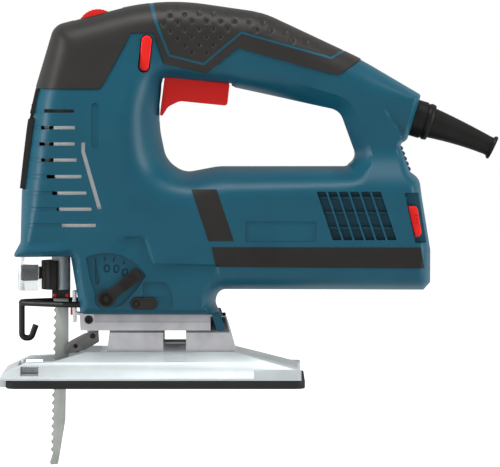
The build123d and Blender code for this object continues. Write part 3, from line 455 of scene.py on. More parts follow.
def side_mesh():
    """Side view of the body cut into triangles that follow the outline and the zones."""
    fin = [FIN[0], FIN[1], (FIN[1][0] + 0.5, FIN[1][1] + 0.3)]
    accent, crease = ribbon(ACCENT_LINE, ACCENT_HALF), ribbon(CREASE, CREASE_HALF)
    zones = [GRIP_ZONE, accent, BAND_ZONE, SIDE_STRIP, crease, fin]
    zones += [capsule_loop(*PILL[0], *PILL[1], half) for half in (PILL_HALF, PILL_HALF - PILL_WALL)]
    for x0, _, z in VENT_ROWS:
        zones += [groove_loop(x0, z, half) for half in (VENT_HALF, VENT_HALF + GROOVE_EDGE)]
    zones = [refine(np.array(zone, float), np.zeros(len(zone)), EDGE_STEP)[0] for zone in zones]
    loops = [OUTER_LINE, HOLE_LINE] + zones
    free = [inward_rings(), surface_grid(SURFACE_STEP)]
    ring = np.linspace(0, 2 * math.pi, 8, endpoint=False)
    for centre in dimple_places():
        free.append(centre[None])
        for radius in (0.5 * DIMPLE_R, DIMPLE_R, 1.3 * DIMPLE_R):
            free.append(centre + radius * np.stack((np.cos(ring), np.sin(ring)), axis=1))
    loose = np.vstack(free)
    loose = loose[in_body(loose)]
    apart = np.ones(len(loose), bool)
    for zone in zones:
        apart &= segment_distance(loose, zone) > 0.35
    flat, faces, _ = triangulated(np.vstack(loops + [loose[apart]]), ring_edges(loops), 1e-4)
    faces = faces[in_body(flat[faces].mean(1))]
    area = double_areas(flat, faces)
    faces[area < 0] = faces[area < 0][:, ::-1]
    return flat, faces[np.abs(area) > 1e-7]


# Mesh tools
def new_piece(name, verts, faces):
    """Object from vertices in millimetres."""
    mesh = bpy.data.meshes.new(name)
    mesh.from_pydata((np.asarray(verts, float) * MM).tolist(), [], [list(map(int, face)) for face in faces])
    obj = bpy.data.objects.new(name, mesh)
    bpy.context.collection.objects.link(obj)
    return obj


def outward(obj):
    """Joins vertices that meet and turns the faces outwards."""
    work = bmesh.new()
    work.from_mesh(obj.data)
    bmesh.ops.remove_doubles(work, verts=work.verts, dist=1e-8)
    bmesh.ops.recalc_face_normals(work, faces=work.faces)
    work.to_mesh(obj.data)
    work.free()
    return obj


def plain(obj):
    """Turns an object's modifiers into its own mesh."""
    graph = bpy.context.evaluated_depsgraph_get()
    mesh = bpy.data.meshes.new_from_object(obj.evaluated_get(graph), depsgraph=graph)
    obj.modifiers.clear()
    old = obj.data
    obj.data = mesh
    bpy.data.meshes.remove(old)
    mesh.name = obj.name
    return obj


def discard(obj):
    mesh = obj.data
    bpy.data.objects.remove(obj)
    bpy.data.meshes.remove(mesh)


def combined(obj, others, operation):
    """Works closed shapes into a closed piece and uses them up."""
    for other in others:
        step = obj.modifiers.new("combine", "BOOLEAN")
        step.operation = operation
        step.solver = "MANIFOLD"
        step.object = other
    plain(obj)
    for other in others:
        discard(other)
    return obj


def cut(obj, *cutters):
    """Cuts closed shapes out of a closed piece."""
    return combined(obj, cutters, "DIFFERENCE")


def fuse(obj, *additions):
    """Adds closed shapes that overlap a closed piece."""
    return combined(obj, additions, "UNION")


def joined(name, pieces):
    """One object from several separate ones."""
    work = bmesh.new()
    for piece in pieces:
        work.from_mesh(piece.data)
    mesh = bpy.data.meshes.new(name)
    work.to_mesh(mesh)
    work.free()
    for piece in pieces:
        discard(piece)
    obj = bpy.data.objects.new(name, mesh)
    bpy.context.collection.objects.link(obj)
    return obj


def soften(obj, width, segments=3, angle=30):
    """Rounds the hard edges of a piece."""
    step = obj.modifiers.new("soften", "BEVEL")
    step.width = width * MM
    step.segments = segments
    step.limit_method = "ANGLE"
    step.angle_limit = math.radians(angle)
    return plain(obj)


def prism(name, loop, low, high, axis="Y"):
    """Closed outline drawn out along Y from a side view, along X from a front view or along Z from above."""
    loop = np.asarray(loop, float)
    order = {"Y": (0, 2, 1), "X": (1, 2, 0), "Z": (0, 1, 2)}[axis]
    n = len(loop)
    verts = np.zeros((2 * n, 3))
    for k, level in enumerate((low, high)):
        rows = slice(k * n, (k + 1) * n)
        verts[rows, order[0]] = loop[:, 0]
        verts[rows, order[1]] = loop[:, 1]
        verts[rows, order[2]] = level
    faces = [list(range(n))[::-1], list(range(n, 2 * n))]
    faces += [[i, (i + 1) % n, n + (i + 1) % n, n + i] for i in range(n)]
    return outward(new_piece(name, verts, faces))


def corners(points, radius, step=0.8):
    """Outline through the points with its corners rounded."""
    return rounded([(x, z, radius, 0) for x, z in points], step)[0]


def bar_loop(x0, x1, z0, z1, radius=0.5):
    return corners([(x0, z0), (x1, z0), (x1, z1), (x0, z1)], radius, 0.6)


def arc(x, z, radius, turn):
    """Points round a centre at the given angles."""
    return np.stack((x + radius * np.cos(turn), z + radius * np.sin(turn)), axis=1)


def circle_loop(x, z, radius, count=32):
    return arc(x, z, radius, np.linspace(0, 2 * math.pi, count, endpoint=False))


def turned(loop, x, z, angle):
    """Side-view outline turned about the origin and moved to a place."""
    c, s = math.cos(math.radians(angle)), math.sin(math.radians(angle))
    loop = np.asarray(loop, float)
    return np.stack((x + loop[:, 0] * c - loop[:, 1] * s, z + loop[:, 0] * s + loop[:, 1] * c), axis=1)


def capsule_loop(x0, z0, x1, z1, half, count=10):
    """Outline of a slot from one centre to another."""
    angle = math.atan2(z1 - z0, x1 - x0)
    turn = np.linspace(-math.pi / 2, math.pi / 2, count) + angle
    return np.vstack((arc(x1, z1, half, turn), arc(x0, z0, -half, turn)))


def block(name, x0, x1, y0, y1, z0, z1):
    return prism(name, [(x0, z0), (x1, z0), (x1, z1), (x0, z1)], y0, y1)


def rod(name, radius, low, high, a, b, count=32, axis="Y"):
    return prism(name, circle_loop(a, b, radius, count), low, high, axis)


def side_span(side, inner, outer):
    """Low and high Y between two distances from the middle plane, on one side of it."""
    return sorted((side * inner, side * outer))


def place(obj, body, slot, *nodes, angle=32, look=None):
    """Shades a finished piece, ties it to its body, gives it its finish and hides the CAD nodes it stands for.
    """
    obj.data.shade_smooth()
    obj.data.set_sharp_from_angle(angle=math.radians(angle))
    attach(obj, body)
    if nodes:
        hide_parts(*nodes)
    obj.data.materials.clear()
    obj.data.materials.append(FINISH[look or slot])


# Housing shells
def rim_edges(faces):
    """Directed edges that only one triangle uses."""
    sides = np.vstack((faces[:, (0, 1)], faces[:, (1, 2)], faces[:, (2, 0)]))
    keys = np.sort(sides, axis=1)
    _, index, count = np.unique(keys, axis=0, return_index=True, return_counts=True)
    return sides[index[count == 1]]


def flat_back(flat, faces):
    """Triangles that close a side surface along the middle plane, on the same rim vertices."""
    rim = rim_edges(faces)
    used = np.unique(rim)
    number = {int(v): i for i, v in enumerate(used)}
    edges = [(number[int(a)], number[int(b)]) for a, b in rim]
    _, triangles, sources = triangulated(flat[used], edges, 1e-7)
    triangles = np.array([used[ids[0]] for ids in sources])[triangles]
    triangles = triangles[within(flat[triangles].mean(1), flat[rim[:, 0]], flat[rim[:, 1]])]
    area = double_areas(flat, triangles)
    triangles[area > 0] = triangles[area > 0][:, ::-1]
    return triangles


def side_solid(name, flat, faces, height, back, side):
    """Closed solid between a side surface and a plane near the middle."""
    rim = np.unique(rim_edges(faces))
    reach = height.copy()
    reach[rim] = back
    verts = np.stack((flat[:, 0], side * reach, flat[:, 1]), axis=1)
    return outward(new_piece(name, verts, np.vstack((faces, flat_back(flat, faces)))))


def inset_line(line, depth):
    """Outline moved into the body by a wall thickness."""
    moved = line + inward(line) * depth
    return moved[(edge_gap(moved) > depth * 0.985) & in_body(moved)]


def cavity(side):
    """Hollow of one shell: the side form drawn in by the wall, thicker behind the controls."""
    outer, hole = loops = [inset_line(OUTER_LINE, SHELL), inset_line(HOLE_LINE, SHELL)]
    grid = surface_grid(CAVITY_STEP)
    grid = grid[np.minimum(segment_distance(grid, outer), segment_distance(grid, hole)) > 1.5]
    rings = inward_rings()[::3]
    rings = rings[edge_gap(rings) > SHELL + 1.2]
    flat, faces, _ = triangulated(np.vstack(loops + [grid, rings]), ring_edges(loops), 1e-5)
    middle = flat[faces].mean(1)
    faces = faces[inside(middle, outer) & ~inside(middle, hole)]
    height = np.maximum(body_height(flat, False)[0] - SHELL, 0.6)
    if side < 0:
        for zone, depth in PADS:
            height = np.where(inside(flat, np.array(zone, float)), np.minimum(height, depth), height)
    return side_solid("cavity", flat, faces, height, -1.0, side)


SIDE_FLAT, SIDE_FACES = side_mesh()
SIDE_HEIGHT, SIDE_NEAR = body_height(SIDE_FLAT)


# Finishes
def srgb(red, green, blue):
    """Scene colour from an 8-bit screen colour."""
    parts = []
    for value in (red, green, blue):
        share = value / 255
        parts.append(share / 12.92 if share <= 0.04045 else ((share + 0.055) / 1.055) ** 2.4)
    return (*parts, 1.0)


def add_node(tree, kind, operation=None, **values):
    """New node with its inputs set; an input's name is written with _ for each space."""
    node = tree.nodes.new(kind)
    if operation:
        node.operation = operation
    for name, value in values.items():
        node.inputs[name.replace("_", " ")].default_value = value
    return node


def wire(tree, *pairs):
    for source, target in pairs:
        tree.links.new(source, target)


def surface_group(name, **layers):
    """Noise that finishes share: scale, detail, roughness and stretch of each layer."""
    group = bpy.data.node_groups.new(name, "ShaderNodeTree")
    for layer, (scale, *_) in layers.items():
        add_socket = group.interface.new_socket
        socket = add_socket(name=layer + " Scale", in_out="INPUT", socket_type="NodeSocketFloat")
        socket.default_value = scale
        add_socket(name=layer, in_out="OUTPUT", socket_type="NodeSocketFloat")
    given, result = group.nodes.new("NodeGroupInput"), group.nodes.new("NodeGroupOutput")
    spot = add_node(group, "ShaderNodeTexCoord")
    for layer, (_, detail, roughness, stretch) in layers.items():
        mapping = add_node(group, "ShaderNodeMapping", Scale=stretch)
        noise = add_node(group, "ShaderNodeTexNoise", Detail=detail, Roughness=roughness)
        wire(group, (spot.outputs["Object"], mapping.inputs["Vector"]),
             (mapping.outputs["Vector"], noise.inputs["Vector"]),
             (given.outputs[layer + " Scale"], noise.inputs["Scale"]),
             (noise.outputs["Fac"], result.inputs[layer]))
    return group


# Fine grain and slow mottling of a moulded skin; parallel grinding lines and slow clouding of ground metal
EVEN = (1.0, 1.0, 1.0)
MOULDED = surface_group("moulded_surface", Grain=(1800.0, 3.0, 0.55, EVEN), Mottle=(40.0, 2.0, 0.55, EVEN))
GROUND = surface_group("ground_metal", Lines=(900.0, 3.0, 0.5, (1.0, 1.0, 0.05)), Cloud=(60.0, 3.0, 0.5, EVEN))
BUMP_DISTANCE = 0.0002


def ranged(tree, source, low, high, start=0.3, end=0.7):
    """Maps a group's value onto a range."""
    node = add_node(tree, "ShaderNodeMapRange", From_Min=start, From_Max=end, To_Min=low, To_Max=high)
    wire(tree, (source, node.inputs["Value"]))
    return node.outputs["Result"]


def mixed(tree, factor, first, second):
    node = tree.nodes.new("ShaderNodeMix")
    node.data_type = "RGBA"
    node.inputs[6].default_value = first
    node.inputs[7].default_value = second
    wire(tree, (factor, node.inputs[0]))
    return node.outputs[2]


def finish(name, dark, light, rough, bump, group=MOULDED, scales=None, metallic=0.0, **constants):
    """Principled material whose colour, gloss and surface follow one of the shared groups."""
    material = bpy.data.materials.new(name)
    material.use_nodes = True
    tree = material.node_tree
    given = tree.nodes["Principled BSDF"].inputs
    given["Metallic"].default_value = metallic
    for key, value in constants.items():
        given[key].default_value = value
    surface = tree.nodes.new("ShaderNodeGroup")
    surface.node_tree = group
    for key, value in (scales or {}).items():
        surface.inputs[key + " Scale"].default_value = value
    fine, slow = surface.outputs
    tint = mixed(tree, ranged(tree, slow, 0.0, 1.0), srgb(*dark), srgb(*light))
    relief = add_node(tree, "ShaderNodeBump", Strength=bump, Distance=BUMP_DISTANCE)
    wire(tree, (tint, given["Base Color"]), (ranged(tree, fine, *rough, 0.25, 0.75), given["Roughness"]),
         (fine, relief.inputs["Height"]), (relief.outputs["Normal"], given["Normal"]))
    return material


def lacquer(weight, rough):
    """Soft gloss of a moulded skin, as a thin coat over a matt base."""
    return {"Specular IOR Level": 0.0, "Coat Weight": weight, "Coat Roughness": rough}


METAL = {"group": GROUND, "metallic": 1.0}
CLEAR = {"Transmission Weight": 1.0, "IOR": 1.45}
CAST = {"metallic": 0.75, "scales": {"Grain": 1500.0, "Mottle": 90.0}}
BRIGHT_CAST = {"metallic": 0.25, "scales": {"Grain": 1300.0, "Mottle": 60.0}}

# Name, darkest and lightest colour, range of roughness, strength of the bump, and the rest
FINISHES = (
    ("blue_body", (4, 71, 90), (10, 78, 97), (0.36, 0.46), 0.10,
     {"scales": {"Grain": 2600.0}, **lacquer(0.48, 0.42)}),
    ("grip_rubber", (30, 29, 27), (37, 35, 33), (0.50, 0.64), 0.22,
     {"scales": {"Grain": 3200.0}, **lacquer(0.44, 0.44)}),
    ("dark_plastic", (38, 37, 36), (45, 44, 43), (0.36, 0.48), 0.14, lacquer(0.16, 0.42)),
    ("red_plastic", (229, 36, 32), (237, 43, 38), (0.30, 0.40), 0.08, lacquer(0.28, 0.32)),
    ("cast_metal", (152, 152, 155), (168, 168, 171), (0.42, 0.58), 0.20, CAST),
    ("foot_metal", (176, 183, 185), (188, 195, 197), (0.36, 0.50), 0.12, BRIGHT_CAST),
    ("sole_plastic", (38, 40, 39), (46, 48, 46), (0.42, 0.56), 0.16, lacquer(0.16, 0.46)),
    ("steel", (168, 169, 171), (190, 191, 193), (0.28, 0.42), 0.10, METAL),
    ("blade_steel", (132, 136, 132), (152, 155, 151), (0.34, 0.50), 0.14, METAL),
    ("black_steel", (26, 26, 27), (36, 36, 37), (0.34, 0.48), 0.12, lacquer(0.30, 0.30)),
    ("clear_plastic", (236, 240, 242), (244, 247, 248), (0.02, 0.06), 0.0, CLEAR),
    ("copper", (176, 96, 62), (200, 118, 80), (0.24, 0.36), 0.10, METAL),
    ("brass", (186, 150, 80), (206, 170, 98), (0.24, 0.36), 0.08, METAL),
    ("carbon", (30, 30, 31), (40, 40, 41), (0.60, 0.74), 0.20, {}),
    ("core_steel", (96, 97, 100), (120, 121, 124), (0.40, 0.55), 0.25, METAL),
    ("fan_plastic", (56, 57, 58), (66, 67, 68), (0.42, 0.54), 0.12, {}),
    ("pale_cast", (216, 215, 212), (228, 227, 224), (0.45, 0.60), 0.12, {}),
    ("forged_steel", (104, 102, 101), (122, 120, 119), (0.36, 0.50), 0.20, {"metallic": 0.3}),
    ("sleeve_rubber", (20, 21, 19), (26, 27, 25), (0.44, 0.58), 0.20, lacquer(0.22, 0.38)),
)
FINISH = {row[0]: finish(*row[:-1], **row[-1]) for row in FINISHES}
REPAINTED = {"plunger_rod": "foot_metal", "lower_bush": "black_steel", "roller_pin": "black_steel",
             "roller_arm_pin": "black_steel", "guide_roller": "black_steel"}
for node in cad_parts.values():
    for slot in node.material_slots:
        slot.material = FINISH[slot.material.name.split(".")[0]]
for node, look in REPAINTED.items():
    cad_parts[node].material_slots[0].material = FINISH[look]


# Cuts through the housing shells
def side_cuts(side):
    """Vents, louvres and the bare label recess of one side, and the screw holes of the far side."""
    span = side_span(side, 22.0, OUTSIDE)
    loops = [bar_loop(x0, x1, z - VENT_HALF, z + VENT_HALF, 0.3) for x0, x1, z in VENT_ROWS]
    for column in range(LOUVRE_COUNT):
        x = LOUVRE_X + column * LOUVRE_PITCH
        end = x + LOUVRE_WIDTH
        loops.append(corners([(x, LOUVRE_TOP), (end, LOUVRE_TOP), (end + LOUVRE_LEAN, LOUVRE_FOOT),
                              (x + LOUVRE_LEAN, LOUVRE_FOOT)], 0.3))
    loops.append(ribbon(SLANT_SLOT, 1.05))
    cuts = [prism("slot", loop, *span) for loop in loops]
    if side > 0:
        cuts += [rod("hole", SCREW_HOLE_R, SCREW_SEAT, OUTSIDE, x, z) for x, z in SCREW_PLACES]
    label = corners([(98.5, 77.3), (135.9, 77.3), (135.9, 88.2), (98.5, 88.2)], 1.2)
    cuts.append(prism("label", label, *side_span(side, BODY_HALF - 0.5, OUTSIDE)))
    return joined("side_cuts", cuts)


def ellipse_loop(x, z, a, b, tilt=0.0, count=24):
    turn = np.linspace(0, 2 * math.pi, count, endpoint=False)
    return turned(np.stack((a * np.cos(turn), b * np.sin(turn)), axis=1), x, z, tilt)


def orbit_pocket_loop():
    """Quarter-round recess that the orbit lever sweeps."""
    sweep = arc(ORBIT_X, ORBIT_Z, ORBIT_SWEEP, np.radians(np.linspace(ORBIT_ANGLE - 8, 116.5, 26)))
    hub = arc(ORBIT_X, ORBIT_Z, ORBIT_HUB, np.radians(np.linspace(160, 300, 14)))
    return np.vstack((sweep, [(16.4, 57.5)], hub, [(34, 44.6), (41, 52)]))


def orbit_marks():
    """Engraved ovals, ticks and the straight-cut mark round the orbit lever."""
    low, high = -POCKET_FLOOR - 1, -POCKET_FLOOR + MARK_DEPTH
    marks = []
    for x, z, tilt in ((25.4, 63.4, 4), (30.4, 63.2, -4), (34.9, 61.3, -20)):
        ring = prism("mark", ellipse_loop(x, z, 1.75, 2.3, tilt), low, high)
        marks.append(cut(ring, prism("core", ellipse_loop(x, z, 0.85, 1.4, tilt), low - 1, high + 1)))
    for turn in (106, 92, 79, 64):
        a = math.radians(turn)
        ends = [(ORBIT_X + r * math.cos(a), ORBIT_Z + r * math.sin(a)) for r in (20.2, 22.0)]
        marks.append(prism("mark", capsule_loop(*ends[0], *ends[1], 0.35), low, high))
    straight = corners([(19.0, 66), (19.9, 66), (21.6, 56), (20.2, 54.6), (19.2, 56)], 0.3)
    marks.append(prism("mark", straight, low, high))
    return joined("marks", marks)


def near_cuts():
    """Pockets of the controls and the rear clip's notch on the near side."""
    slide = corners([(44.4, 40.9), (60.6, 40.9), (59.6, 51.0), (56.4, 56.2), (44.4, 56.2)], 1.4)
    notch = corners([(182.3, 103.3), (204, 103.3), (204, 76.8), (188.2, 76.8)], 0.6)
    pockets = [(orbit_pocket_loop(), POCKET_FLOOR), (slide, POCKET_FLOOR + 0.4),
               (capsule_loop(41.3, 44.7, 56.4, 44.7, 3.7), POCKET_FLOOR),
               (capsule_loop(*BUTTON_LINE, BUTTON_R + 0.45), 4), (notch, 24.9)]
    cuts = [prism("cut", loop, -OUTSIDE, -floor) for loop, floor in pockets]
    return cuts + [rod("cut", 2.7, -OUTSIDE, -20, ORBIT_X, ORBIT_Z)]


def dial_slot():
    return block("cut", 7.0, 33.0, -4.9, 4.9, 176.2, 215)


def middle_cuts():
    """Openings on the middle plane: trigger, front lever and its hinge, plunger and dial."""
    slot = [(52.6, 140), (91.2, 140), (91.2, 169.6), (55.1, 169.6), (52.6, 149)]
    lever = [(-40, 104.6), (-16.6, 104.6), (-14.8, 121.2), (-12.9, 136.7), (-12.2, 142.4), (-40, 142.4)]
    hinge = [(-40, 137), (-8.6, 137), (-8.6, 152), (-40, 152)]
    cuts = [prism("cut", loop, -half, half) for loop, half in ((slot, 9.9), (lever, 20.4), (hinge, 14.4))]
    return cuts + [block("cut", -11.2, 8.5, -11.8, 11.8, 60, 72.8), dial_slot()]


def shell(side, word):
    """One half of the housing, seated lower where the rubber covers it."""
    covered = signed_distance(SIDE_FLAT, np.array(GRIP_ZONE, float)) > 0.5
    height = np.where(covered, np.maximum(SIDE_HEIGHT - RUBBER_SEAT, SEAM), SIDE_HEIGHT)
    half = side_solid("housing_" + word + "_shell", SIDE_FLAT, SIDE_FACES, height, SEAM, side)
    cut(half, cavity(side), side_cuts(side), *middle_cuts())
    if side < 0:
        cut(half, *near_cuts())
        cut(half, orbit_marks())
    place(half, "housing", "blue_body", "housing_" + word)


for side, word in SIDES:
    shell(side, word)


# Rubber grips and dark side pieces
def surface_normals(verts, faces):
    """Vertex normals of a side surface, weighted by area."""
    a, b, c = (verts[faces[:, k]] for k in range(3))
    face_normal = np.cross(b - a, c - a)
    normal = np.zeros_like(verts)
    for k in range(3):
        np.add.at(normal, faces[:, k], face_normal)
    return normal / np.maximum(np.linalg.norm(normal, axis=1), 1e-12)[:, None]


SIDE_VERTS = np.stack((SIDE_FLAT[:, 0], -SIDE_HEIGHT, SIDE_FLAT[:, 1]), axis=1)
SIDE_NORMALS = surface_normals(SIDE_VERTS, SIDE_FACES)
if SIDE_NORMALS[SIDE_NEAR > 12][:, 1].mean() > 0:
    SIDE_NORMALS = -SIDE_NORMALS


def skin(name, chosen, proud, depth, side):
    """Closed skin over some triangles of the side surface, reaching out and in along its normals."""
    faces = SIDE_FACES[chosen]
    used = np.unique(faces)
    number = np.full(len(SIDE_VERTS), -1)
    number[used] = np.arange(len(used))
    base, normal = SIDE_VERTS[used], SIDE_NORMALS[used]
    outer = base + normal * proud[used][:, None]
    inner = base - normal * depth
    middle = SIDE_NEAR[used] < 1e-3
    outer[middle, 1] = -SEAM
    inner[middle, 1] = -SEAM
    faces = number[faces]
    rim = rim_edges(faces)
    n = len(used)
    walls = np.vstack((np.stack((rim[:, 0], rim[:, 1], rim[:, 1] + n), axis=1),
                       np.stack((rim[:, 0], rim[:, 1] + n, rim[:, 0] + n), axis=1)))
    verts = np.vstack((outer, inner))
    verts[:, 1] *= -side
    obj = new_piece(name, verts, np.vstack((faces, faces[:, ::-1] + n, walls)))
    return outward(obj)


def zone_mask(zone):
    return inside(SIDE_FLAT[SIDE_FACES].mean(1), np.array(zone, float))


def even(proud):
    """The same rise over the whole side."""
    return np.full(len(SIDE_FLAT), proud)


def grip(side, word):
    """Rubber cover of one side of the handle, with dimples and a blue accent line."""
    name = "grip_" + word
    chosen = zone_mask(GRIP_ZONE)
    accent = zone_mask(ribbon(ACCENT_LINE, ACCENT_HALF)) & chosen
    proud = even(RUBBER_PROUD)
    depth = np.interp(SIDE_NEAR, (2, 7), (0.45 * DIMPLE_DEPTH, DIMPLE_DEPTH))
    for x, z in dimple_places():
        away = np.hypot(SIDE_FLAT[:, 0] - x, SIDE_FLAT[:, 1] - z)
        proud -= depth * np.clip(1 - (away / (1.15 * DIMPLE_R)) ** 2, 0, 1)
    cover = skin(name + "_cover", chosen & ~accent, proud, RUBBER_DEPTH, side)
    line = skin(name + "_cover_line", accent, even(RUBBER_PROUD - 0.12), RUBBER_DEPTH, side)
    cut(cover, dial_slot())
    if side > 0:
        cut(cover, *[rod("hole", SCREW_HOLE_R, SCREW_SEAT, OUTSIDE, x, z) for x, z in SCREW_PLACES[1:3]])
    place(cover, "housing", "grip_rubber", name, angle=60)
    place(line, "housing", "blue_body", angle=60)


for side, word in SIDES:
    grip(side, word)
for side, word in SIDES:
    band = skin("side_band_" + word + "_cover", zone_mask(BAND_ZONE), even(0.25), 0.9, side)
    place(band, "housing", "dark_plastic", "side_band_" + word, angle=40)
    strip = skin("side_strip_" + word, zone_mask(SIDE_STRIP), even(0.12), 0.9, side)
    place(strip, "housing", "dark_plastic", angle=40)


# Repeated details
def spread_tree():
    """Puts a shape on every point of a carrier, turned as the point says."""
    tree = bpy.data.node_groups.new("spread_on_points", "GeometryNodeTree")
    for name, kind in (("Points", "Geometry"), ("Shape", "Object"), ("Finish", "Material")):
        tree.interface.new_socket(name=name, in_out="INPUT", socket_type="NodeSocket" + kind)
    tree.interface.new_socket(name="Result", in_out="OUTPUT", socket_type="NodeSocketGeometry")
    given, result = tree.nodes.new("NodeGroupInput"), tree.nodes.new("NodeGroupOutput")
    kinds = ("ObjectInfo", "InstanceOnPoints", "RealizeInstances", "SetMaterial", "InputNamedAttribute")
    shape, onto, real, paint, turn = (tree.nodes.new("GeometryNode" + kind) for kind in kinds)
    turn.data_type = "FLOAT_VECTOR"
    turn.inputs["Name"].default_value = "turn"
    angle = tree.nodes.new("FunctionNodeEulerToRotation")
    for source, output, target, entry in (
        (given, "Shape", shape, "Object"), (given, "Points", onto, "Points"),
        (shape, "Geometry", onto, "Instance"), (turn, "Attribute", angle, "Euler"),
        (angle, "Rotation", onto, "Rotation"), (onto, "Instances", real, "Geometry"),
        (real, "Geometry", paint, "Geometry"), (given, "Finish", paint, "Material"),
        (paint, "Geometry", result, "Result"),
    ):
        tree.links.new(source.outputs[output], target.inputs[entry])
    return tree


SPREAD = spread_tree()
FAR = (0, 0, 0)
NEAR = (0, 0, math.pi)


def spread(name, shape, points, slot, turns=FAR):
    """One piece from copies of a shape at points in millimetres, turned alike or each its own way."""
    carrier = new_piece(name, points, [])
    kept = carrier.data.attributes.new("turn", "FLOAT_VECTOR", "POINT")
    kept.data.foreach_set("vector", np.ravel(np.broadcast_to(np.array(turns, float), (len(points), 3))))
    values = {"Shape": shape, "Finish": FINISH[slot]}
    step = carrier.modifiers.new("spread", "NODES")
    step.node_group = SPREAD
    for socket in SPREAD.interface.items_tree:
        if socket.name in values:
            step[socket.identifier] = values[socket.name]
    plain(carrier)
    discard(shape)
    return carrier


def screw_head(radius, height):
    """Domed head with a cross drive, its face towards +Y and its seat at the origin."""
    head = rod("screw_head", radius, 0, height, 0, 0, 28)
    wide, narrow = radius * 0.62, radius * 0.16
    for a, b in ((wide, narrow), (narrow, wide)):
        cut(head, block("drive", -a, a, height * 0.45, height + 1, -b, b))
    return soften(head, 0.14 * radius, 2, 50)


seats = [(x, SCREW_SEAT + 0.05, z) for x, z in SCREW_PLACES]
heads = spread("housing_screw_heads", screw_head(2.75, 2.4), seats, "black_steel")
place(heads, "housing", "black_steel", "housing_screws", angle=40)
seats = [(15.5, -19.8, 35.6), (15.5, 19.8, 35.6)]
heads = spread("rail_screw_heads", screw_head(2.2, 1.5), seats, "black_steel", [NEAR, FAR])
place(heads, "housing", "black_steel", "rail_screws", angle=40)
ridge = soften(rod("ridge", 1.1, -9, 9, 0, 0, 20), 0.5, 3, 50)
rows = [(x, 0, z) for x, z in zip(np.linspace(181.3, 185.4, 5), np.linspace(126, 115, 5))]
place(spread("rear_ridges", ridge, rows, "blue_body"), "housing", "blue_body", angle=40)


# Pieces behind the vents
def vent_liner(side, word):
    """Pale metal wall of the gear case behind the front vents, and the bars and wall behind the louvres."""
    wall = corners([(-2.6, 143.2), (25, 143.2), (27, 90), (27, 82), (0.9, 82), (0.3, 96), (-2.6, 118)], 1.5)
    liner = prism("vent_liner_" + word, wall, *side_span(side, 29.2, 30.3))
    post = prism("vent_post", bar_loop(-7.5, -5.0, 116, 141, 0.4), *side_span(side, 24.5, 26))
    place(joined(liner.name, [liner, post]), "housing", "foot_metal", look="pale_cast")
    bar = soften(prism("bar", bar_loop(-1.0, 1.0, -0.8, 0.8, 0.25), -24.5, 24.5, "X"), 0.2, 2)
    rows = [(159.4, side * 27.4, z) for z in (100.6, 92.6, 84.6)]
    place(spread("louvre_bars_" + word, bar, rows, "blue_body"), "housing", "blue_body")
    wall = corners([(130, 107), (174, 107), (187, 75), (130, 75)], 1.0)
    baffle = prism("louvre_baffle_" + word, wall, *side_span(side, 25.4, 26.2))
    place(baffle, "housing", "blue_body")


for side, word in SIDES:
    vent_liner(side, word)


# Hand controls
def trigger():
    """Finger trigger with a hooked toe, and its stem into the switch."""
    side = rounded([(55.6, 164.2, 0.8), (90.1, 160.6, 1.2), (88.8, 148.7, 1.6), (63.6, 151.2, 6),
                    (57.4, 148.2, 6), (54.3, 143.3, 0.5), (53.0, 143.8, 0.4)], 0.7)[0]
    finger = soften(prism("trigger_finger", side, -9.5, 9.5), 0.55, 3, 50)
    stem = block("stem", 60, 74, -4, 4, 162, 171)
    place(joined("trigger_finger", [finger, stem]), "trigger", "red_plastic", "trigger")


def lock_button():
    knob = soften(prism("lock_button_cap", capsule_loop(*BUTTON_LINE, BUTTON_R), -23.4, -8), 1.0, 4, 50)
    place(knob, "lock_button", "red_plastic", "lock_button", angle=50)


def speed_dial():
    """Thumb wheel with a fluted rim."""
    turn = np.linspace(0, 2 * math.pi, 144, endpoint=False)
    radius = 10.9 - 0.3 * (0.5 + 0.5 * np.cos(36 * turn)) ** 2
    wheel = prism("speed_dial_wheel", arc(DIAL_X, DIAL_Z, radius, turn), -4.4, 4.4)
    cut(wheel, rod("bore", 1.6, -6, 6, DIAL_X, DIAL_Z))
    place(soften(wheel, 0.7, 3, 50), "speed_dial", "red_plastic", "speed_dial", angle=40)


def eject_lever():
    """Wide front lever that opens the blade clamp, on its neck and hub."""
    plate = [(-21, 105.1), (-19.2, 121.2), (-17.3, 136.7), (-16.5, 142)]
    back = [(x + 4, z) for x, z in reversed(plate)]
    lever = soften(prism("eject_lever_plate", corners(plate + back, 0.4), -20, 20), 0.9, 4, 40)
    neck = corners([(-17, 138), (-13, 138), (-9.2, 147), (-14.8, 147)], 0.5)
    hub = rod("hub", 3.0, -14, 14, LEVER_X, LEVER_Z)
    fuse(lever, prism("neck", neck, -13.9, 13.9), hub)
    cut(lever, rod("bore", 1.6, -20, 20, LEVER_X, LEVER_Z))
    place(lever, "eject_lever", "dark_plastic", "eject_lever")
    cheek = corners([(-12.5, 158.2), (-14.6, 149), (-15.7, 144.8), (-12.9, 144.8), (-11.8, 149),
                     (-9.8, 158.2)], 0.4)
    for side, word in SIDES:
        trim = soften(prism("lever_cheek_" + word, cheek, *side_span(side, 14.6, 18.4)), 0.4)
        place(trim, "housing", "dark_plastic")


